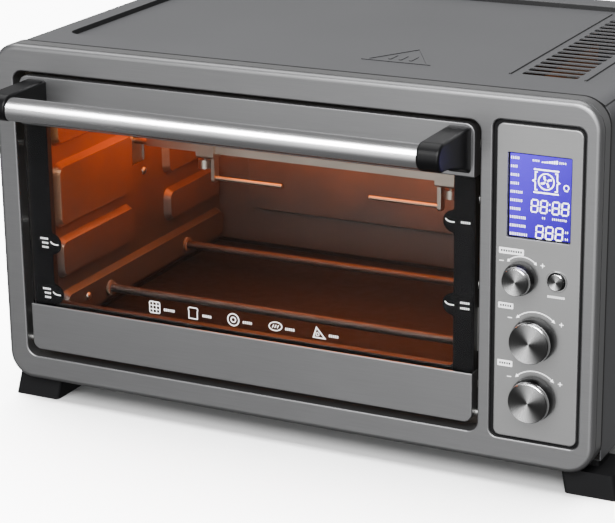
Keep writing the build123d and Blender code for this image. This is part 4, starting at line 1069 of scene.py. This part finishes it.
BUTTON_R = (button_high.x - button_low.x) / 2 - 1.3
BUTTON_FACE = 1.4                                # thickness of its turned face
step = button_low.y + BUTTON_FACE
stem = [(0, step), (BUTTON_R - 0.1, step), (BUTTON_R, button_low.y + 1.8), (BUTTON_R, 3.0),
        (3.0, 3.0), (3.0, button_high.y), (0, button_high.y)]
settle(lathe("start_button_stem", "start_button", stem, chrome), "start_button", "spun_metal",
       "start_button")
settle(turned_face("start_button_face", "start_button", spun_metal, BUTTON_R, BUTTON_FACE,
                   chamfer=0.5, pitch=0.36, dish=0.3), "start_button", "spun_metal")
ring_profile = [(BUTTON_R + 0.7, 1.8), (BUTTON_R + 0.7, -0.5), (BUTTON_R + 1.0, -0.9),
                (BUTTON_R + 1.4, -0.9), (BUTTON_R + 1.75, -0.5), (BUTTON_R + 1.95, -0.02),
                (BUTTON_R + 1.5, 0.02), (BUTTON_R + 1.5, 1.8), (BUTTON_R + 0.7, 1.8)]
settle(lathe("start_button_ring", "start_button", ring_profile, chrome), "oven_body",
       "spun_metal")

# %% [markdown]
# ## Screws with real recesses
# The engineering model's screws are plain discs. A real pan head is domed and has a cross
# recess. One head is cut once, with a boolean, and a geometry tree sets it at every place where
# the engineering model has a screw, turned the way that screw faces. The places are read from
# the engineering model, island by island.

# %% Screw heads
screws = Recipe("screws_on_points", Material="Material")
dome = screws.node("GeometryNodeMeshUVSphere", inputs={"Segments": 24, "Rings": 12, "Radius": 1.0})


def block(size, lift, turn=0.0):
    """A cutting block, in radii of the head, lifted and turned about the head's axis."""
    cube = screws.node("GeometryNodeMeshCube", inputs={"Size": size})
    return screws.node("GeometryNodeTransform", inputs={"Geometry": cube, "Rotation": (0, 0, turn),
                                                        "Translation": (0, 0, lift)})


def stored_vector(name):
    """A vector that each point of the start mesh carries."""
    return screws.node("GeometryNodeInputNamedAttribute", {"data_type": "FLOAT_VECTOR"},
                       {"Name": name})


SLOT = (1.05, 0.24, 0.9)                         # one bar of the cross recess
head = screws.node("GeometryNodeMeshBoolean", {"operation": "DIFFERENCE"}, {"Mesh 1": dome},
                   out="Mesh")
for cutter in (block((4.0, 4.0, 2.0), -1.0), block(SLOT, 1.0), block(SLOT, 1.0, math.pi / 2)):
    screws.tree.links.new(cutter.socket, head.socket.node.inputs["Mesh 2"])
turn_to = screws.node("FunctionNodeAlignRotationToVector", {"axis": "Z"},
                      {"Vector": stored_vector("facing")})
set_out = screws.node("GeometryNodeInstanceOnPoints",
                      inputs={"Points": screws.given("Geometry"), "Instance": head,
                              "Rotation": turn_to, "Scale": stored_vector("head_size")},
                      out="Instances")
screws.end(set_out, screws.given("Material"))


def islands(node):
    """Boxes of the separate solids of a node: its triangles are merged in a copy first."""
    copy = bmesh.new()
    copy.from_mesh(nodes[node].data)
    bmesh.ops.remove_doubles(copy, verts=copy.verts, dist=1e-6)
    left = set(copy.verts)
    boxes = []
    while left:
        edge_of, island = [left.pop()], []
        while edge_of:
            corner = edge_of.pop()
            island.append(corner.co.copy())
            for edge in corner.link_edges:
                other = edge.other_vert(corner)
                if other in left:
                    left.remove(other)
                    edge_of.append(other)
        boxes.append((Vector(map(min, zip(*island))), Vector(map(max, zip(*island)))))
    copy.free()
    return boxes


def screw_piece(node, body, slot, way_of):
    """All screws of a node. way_of gives a screw's direction from its axis and its middle."""
    places, ways, sizes = [], [], []
    for low, high in islands(node):
        extent, middle = high - low, (low + high) / 2
        axis = min(range(3), key=lambda i: extent[i])
        way = Vector((0, 0, 0))
        way[axis] = way_of(axis, middle)
        places.append(middle - way * extent[axis] / 2)
        ways.append(way)
        radius = max(extent) / 2
        sizes.append((radius, radius, extent[axis]))
    start = bpy.data.meshes.new(node + "_points")
    start.from_pydata(places, [], [])
    for name, values in (("facing", ways), ("head_size", sizes)):
        attribute = start.attributes.new(name, "FLOAT_VECTOR", "POINT")
        attribute.data.foreach_set("vector", [c for value in values for c in value])
    obj = screws.serve(node + "_heads", zinc, start)
    return settle(obj, body, slot, node)


middle_y = (cad_box[0].y + cad_box[1].y) / 2
screw_piece("body_screws", "oven_body", "zinc_steel",
            lambda axis, middle: 1 if axis != 1 or middle.y > middle_y else -1)
screw_piece("door_screws", "door", "zinc_steel", lambda axis, middle: 1)

# %% [markdown]
# ## Studio
# A pale floor, a broad light from above and a little behind, so that the shadow falls softly
# towards the viewer, a long soft box in front for the line of light along the handle, and a warm
# lamp under the oven's ceiling. One light serves the floor alone and one the bright metal alone,
# and neither the floor nor that metal is seen in other surfaces, which keeps the steel calm.

# %% Floor and lights
FLOOR_HALF = 9.0
floor_mesh = bpy.data.meshes.new("floor")
corners = [(x * FLOOR_HALF, y * FLOOR_HALF, 0) for x, y in ((-1, -1), (1, -1), (1, 1), (-1, 1))]
floor_mesh.from_pydata(corners, [], [(0, 1, 2, 3)])
floor = bpy.data.objects.new("floor", floor_mesh)
bpy.context.collection.objects.link(floor)
floor_finish = Finish("floor_paper", {"Roughness": 0.9, "Specular IOR Level": 0.1})
paper = floor_finish.noise(3.0, 2.0)
floor_finish.shade({"Base Color": floor_finish.mix(paper, (0.90, 0.90, 0.90), (0.92, 0.92, 0.92))})
floor_mesh.materials.append(floor_finish.material)

floor.visible_glossy = False
floor.visible_diffuse = False
floor.visible_transmission = False

FRONT_GLOW, SIDE_GLOW, BACK_GLOW, AMBIENT = 1.75, 0.10, 0.25, 0.10
world = bpy.data.worlds.new("studio")
world.use_nodes = True
bpy.context.scene.world = world
studio = Graph(world.node_tree)
facing = studio.node("ShaderNodeTexCoord", out="Generated")
to_x, to_y, to_z = (studio.part(facing, axis) for axis in "XYZ")
front = (to_y * -1.0).clamp() ** 8.0
height = (to_z * 2.2 + 1.3).math("MAXIMUM", 0.12).math("MINIMUM", 2.0)
behind = to_y.clamp() * (1.0 - abs(to_z - 0.3)).clamp()
sweep = (to_x * 1.8 + 1.81).math("MAXIMUM", 0.5).math("MINIMUM", 1.7)
glow = (front * height * sweep * FRONT_GLOW + abs(to_x) * SIDE_GLOW + behind * BACK_GLOW
        + AMBIENT)
studio.plug(world.node_tree.nodes["Background"].inputs["Strength"], glow)
studio.plug(world.node_tree.nodes["Background"].inputs["Color"], (1.0, 1.0, 1.0))


def lamp(name, kind, place, target, energy, colour=(1, 1, 1), size=None):
    """A light at place that faces target."""
    data = bpy.data.lights.new(name, kind)
    data.energy, data.color = energy, colour
    if kind == "AREA":
        data.shape, data.size, data.size_y = "RECTANGLE", *size
    if kind == "SUN":
        data.angle = size
    obj = bpy.data.objects.new(name, data)
    turn = (Vector(target) - Vector(place)).to_track_quat("-Z", "Y")
    obj.matrix_world = Matrix.Translation(place) @ turn.to_matrix().to_4x4()
    bpy.context.collection.objects.link(obj)
    return obj


def only_for(light, name, *pieces, state="INCLUDE"):
    """Lets a light shine on the given pieces alone, or on all but them."""
    group = bpy.data.collections.new(name)
    for piece in pieces:
        group.objects.link(piece)
    for entry in group.collection_objects:
        entry.light_linking.link_state = state
    light.light_linking.receiver_collection = group


floor_light = lamp("floor_light", "SUN", (-0.35, 0.45, 2.0), (0, 0, 0), 36.0,
                   size=math.radians(70))
only_for(floor_light, "floor_only", floor)
overhead = lamp("overhead", "SUN", (-0.5, 0.6, 2.0), (0, 0, 0), 1.9, size=math.radians(60))
only_for(overhead, "not_the_handle", nodes["handle_bar"], state="EXCLUDE")
lamp("front_softbox", "AREA", (0.25, -1.75, 1.65), (0, -0.2, 0.2), 70.0, size=(2.0, 1.1))
bright_metal = [nodes["handle_bar"]] + [o for o in bpy.data.objects if o.name.endswith("_face")]
metal_light = lamp("metal_light", "AREA", (0.1, -1.5, 1.55), (0, -0.2, 0.2), 380.0,
                   size=(3.0, 1.2))
only_for(metal_light, "bright_metal", *bright_metal)
for piece in bright_metal + [o for o in bpy.data.objects if o.name.endswith("_collar")]:
    piece.visible_glossy = piece.visible_diffuse = False
ceiling_low, ceiling_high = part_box("cavity_ceiling")
oven_middle = (ceiling_low + ceiling_high) / 2
warm_at = Vector((oven_middle.x, oven_middle.y, ceiling_low.z - 0.012))
lamp("oven_glow", "AREA", warm_at, warm_at - Vector((0, 0, 0.1)), 1.45, (1.0, 0.22, 0.03),
     (0.30, 0.20))
print("lights", len(bpy.data.lights))
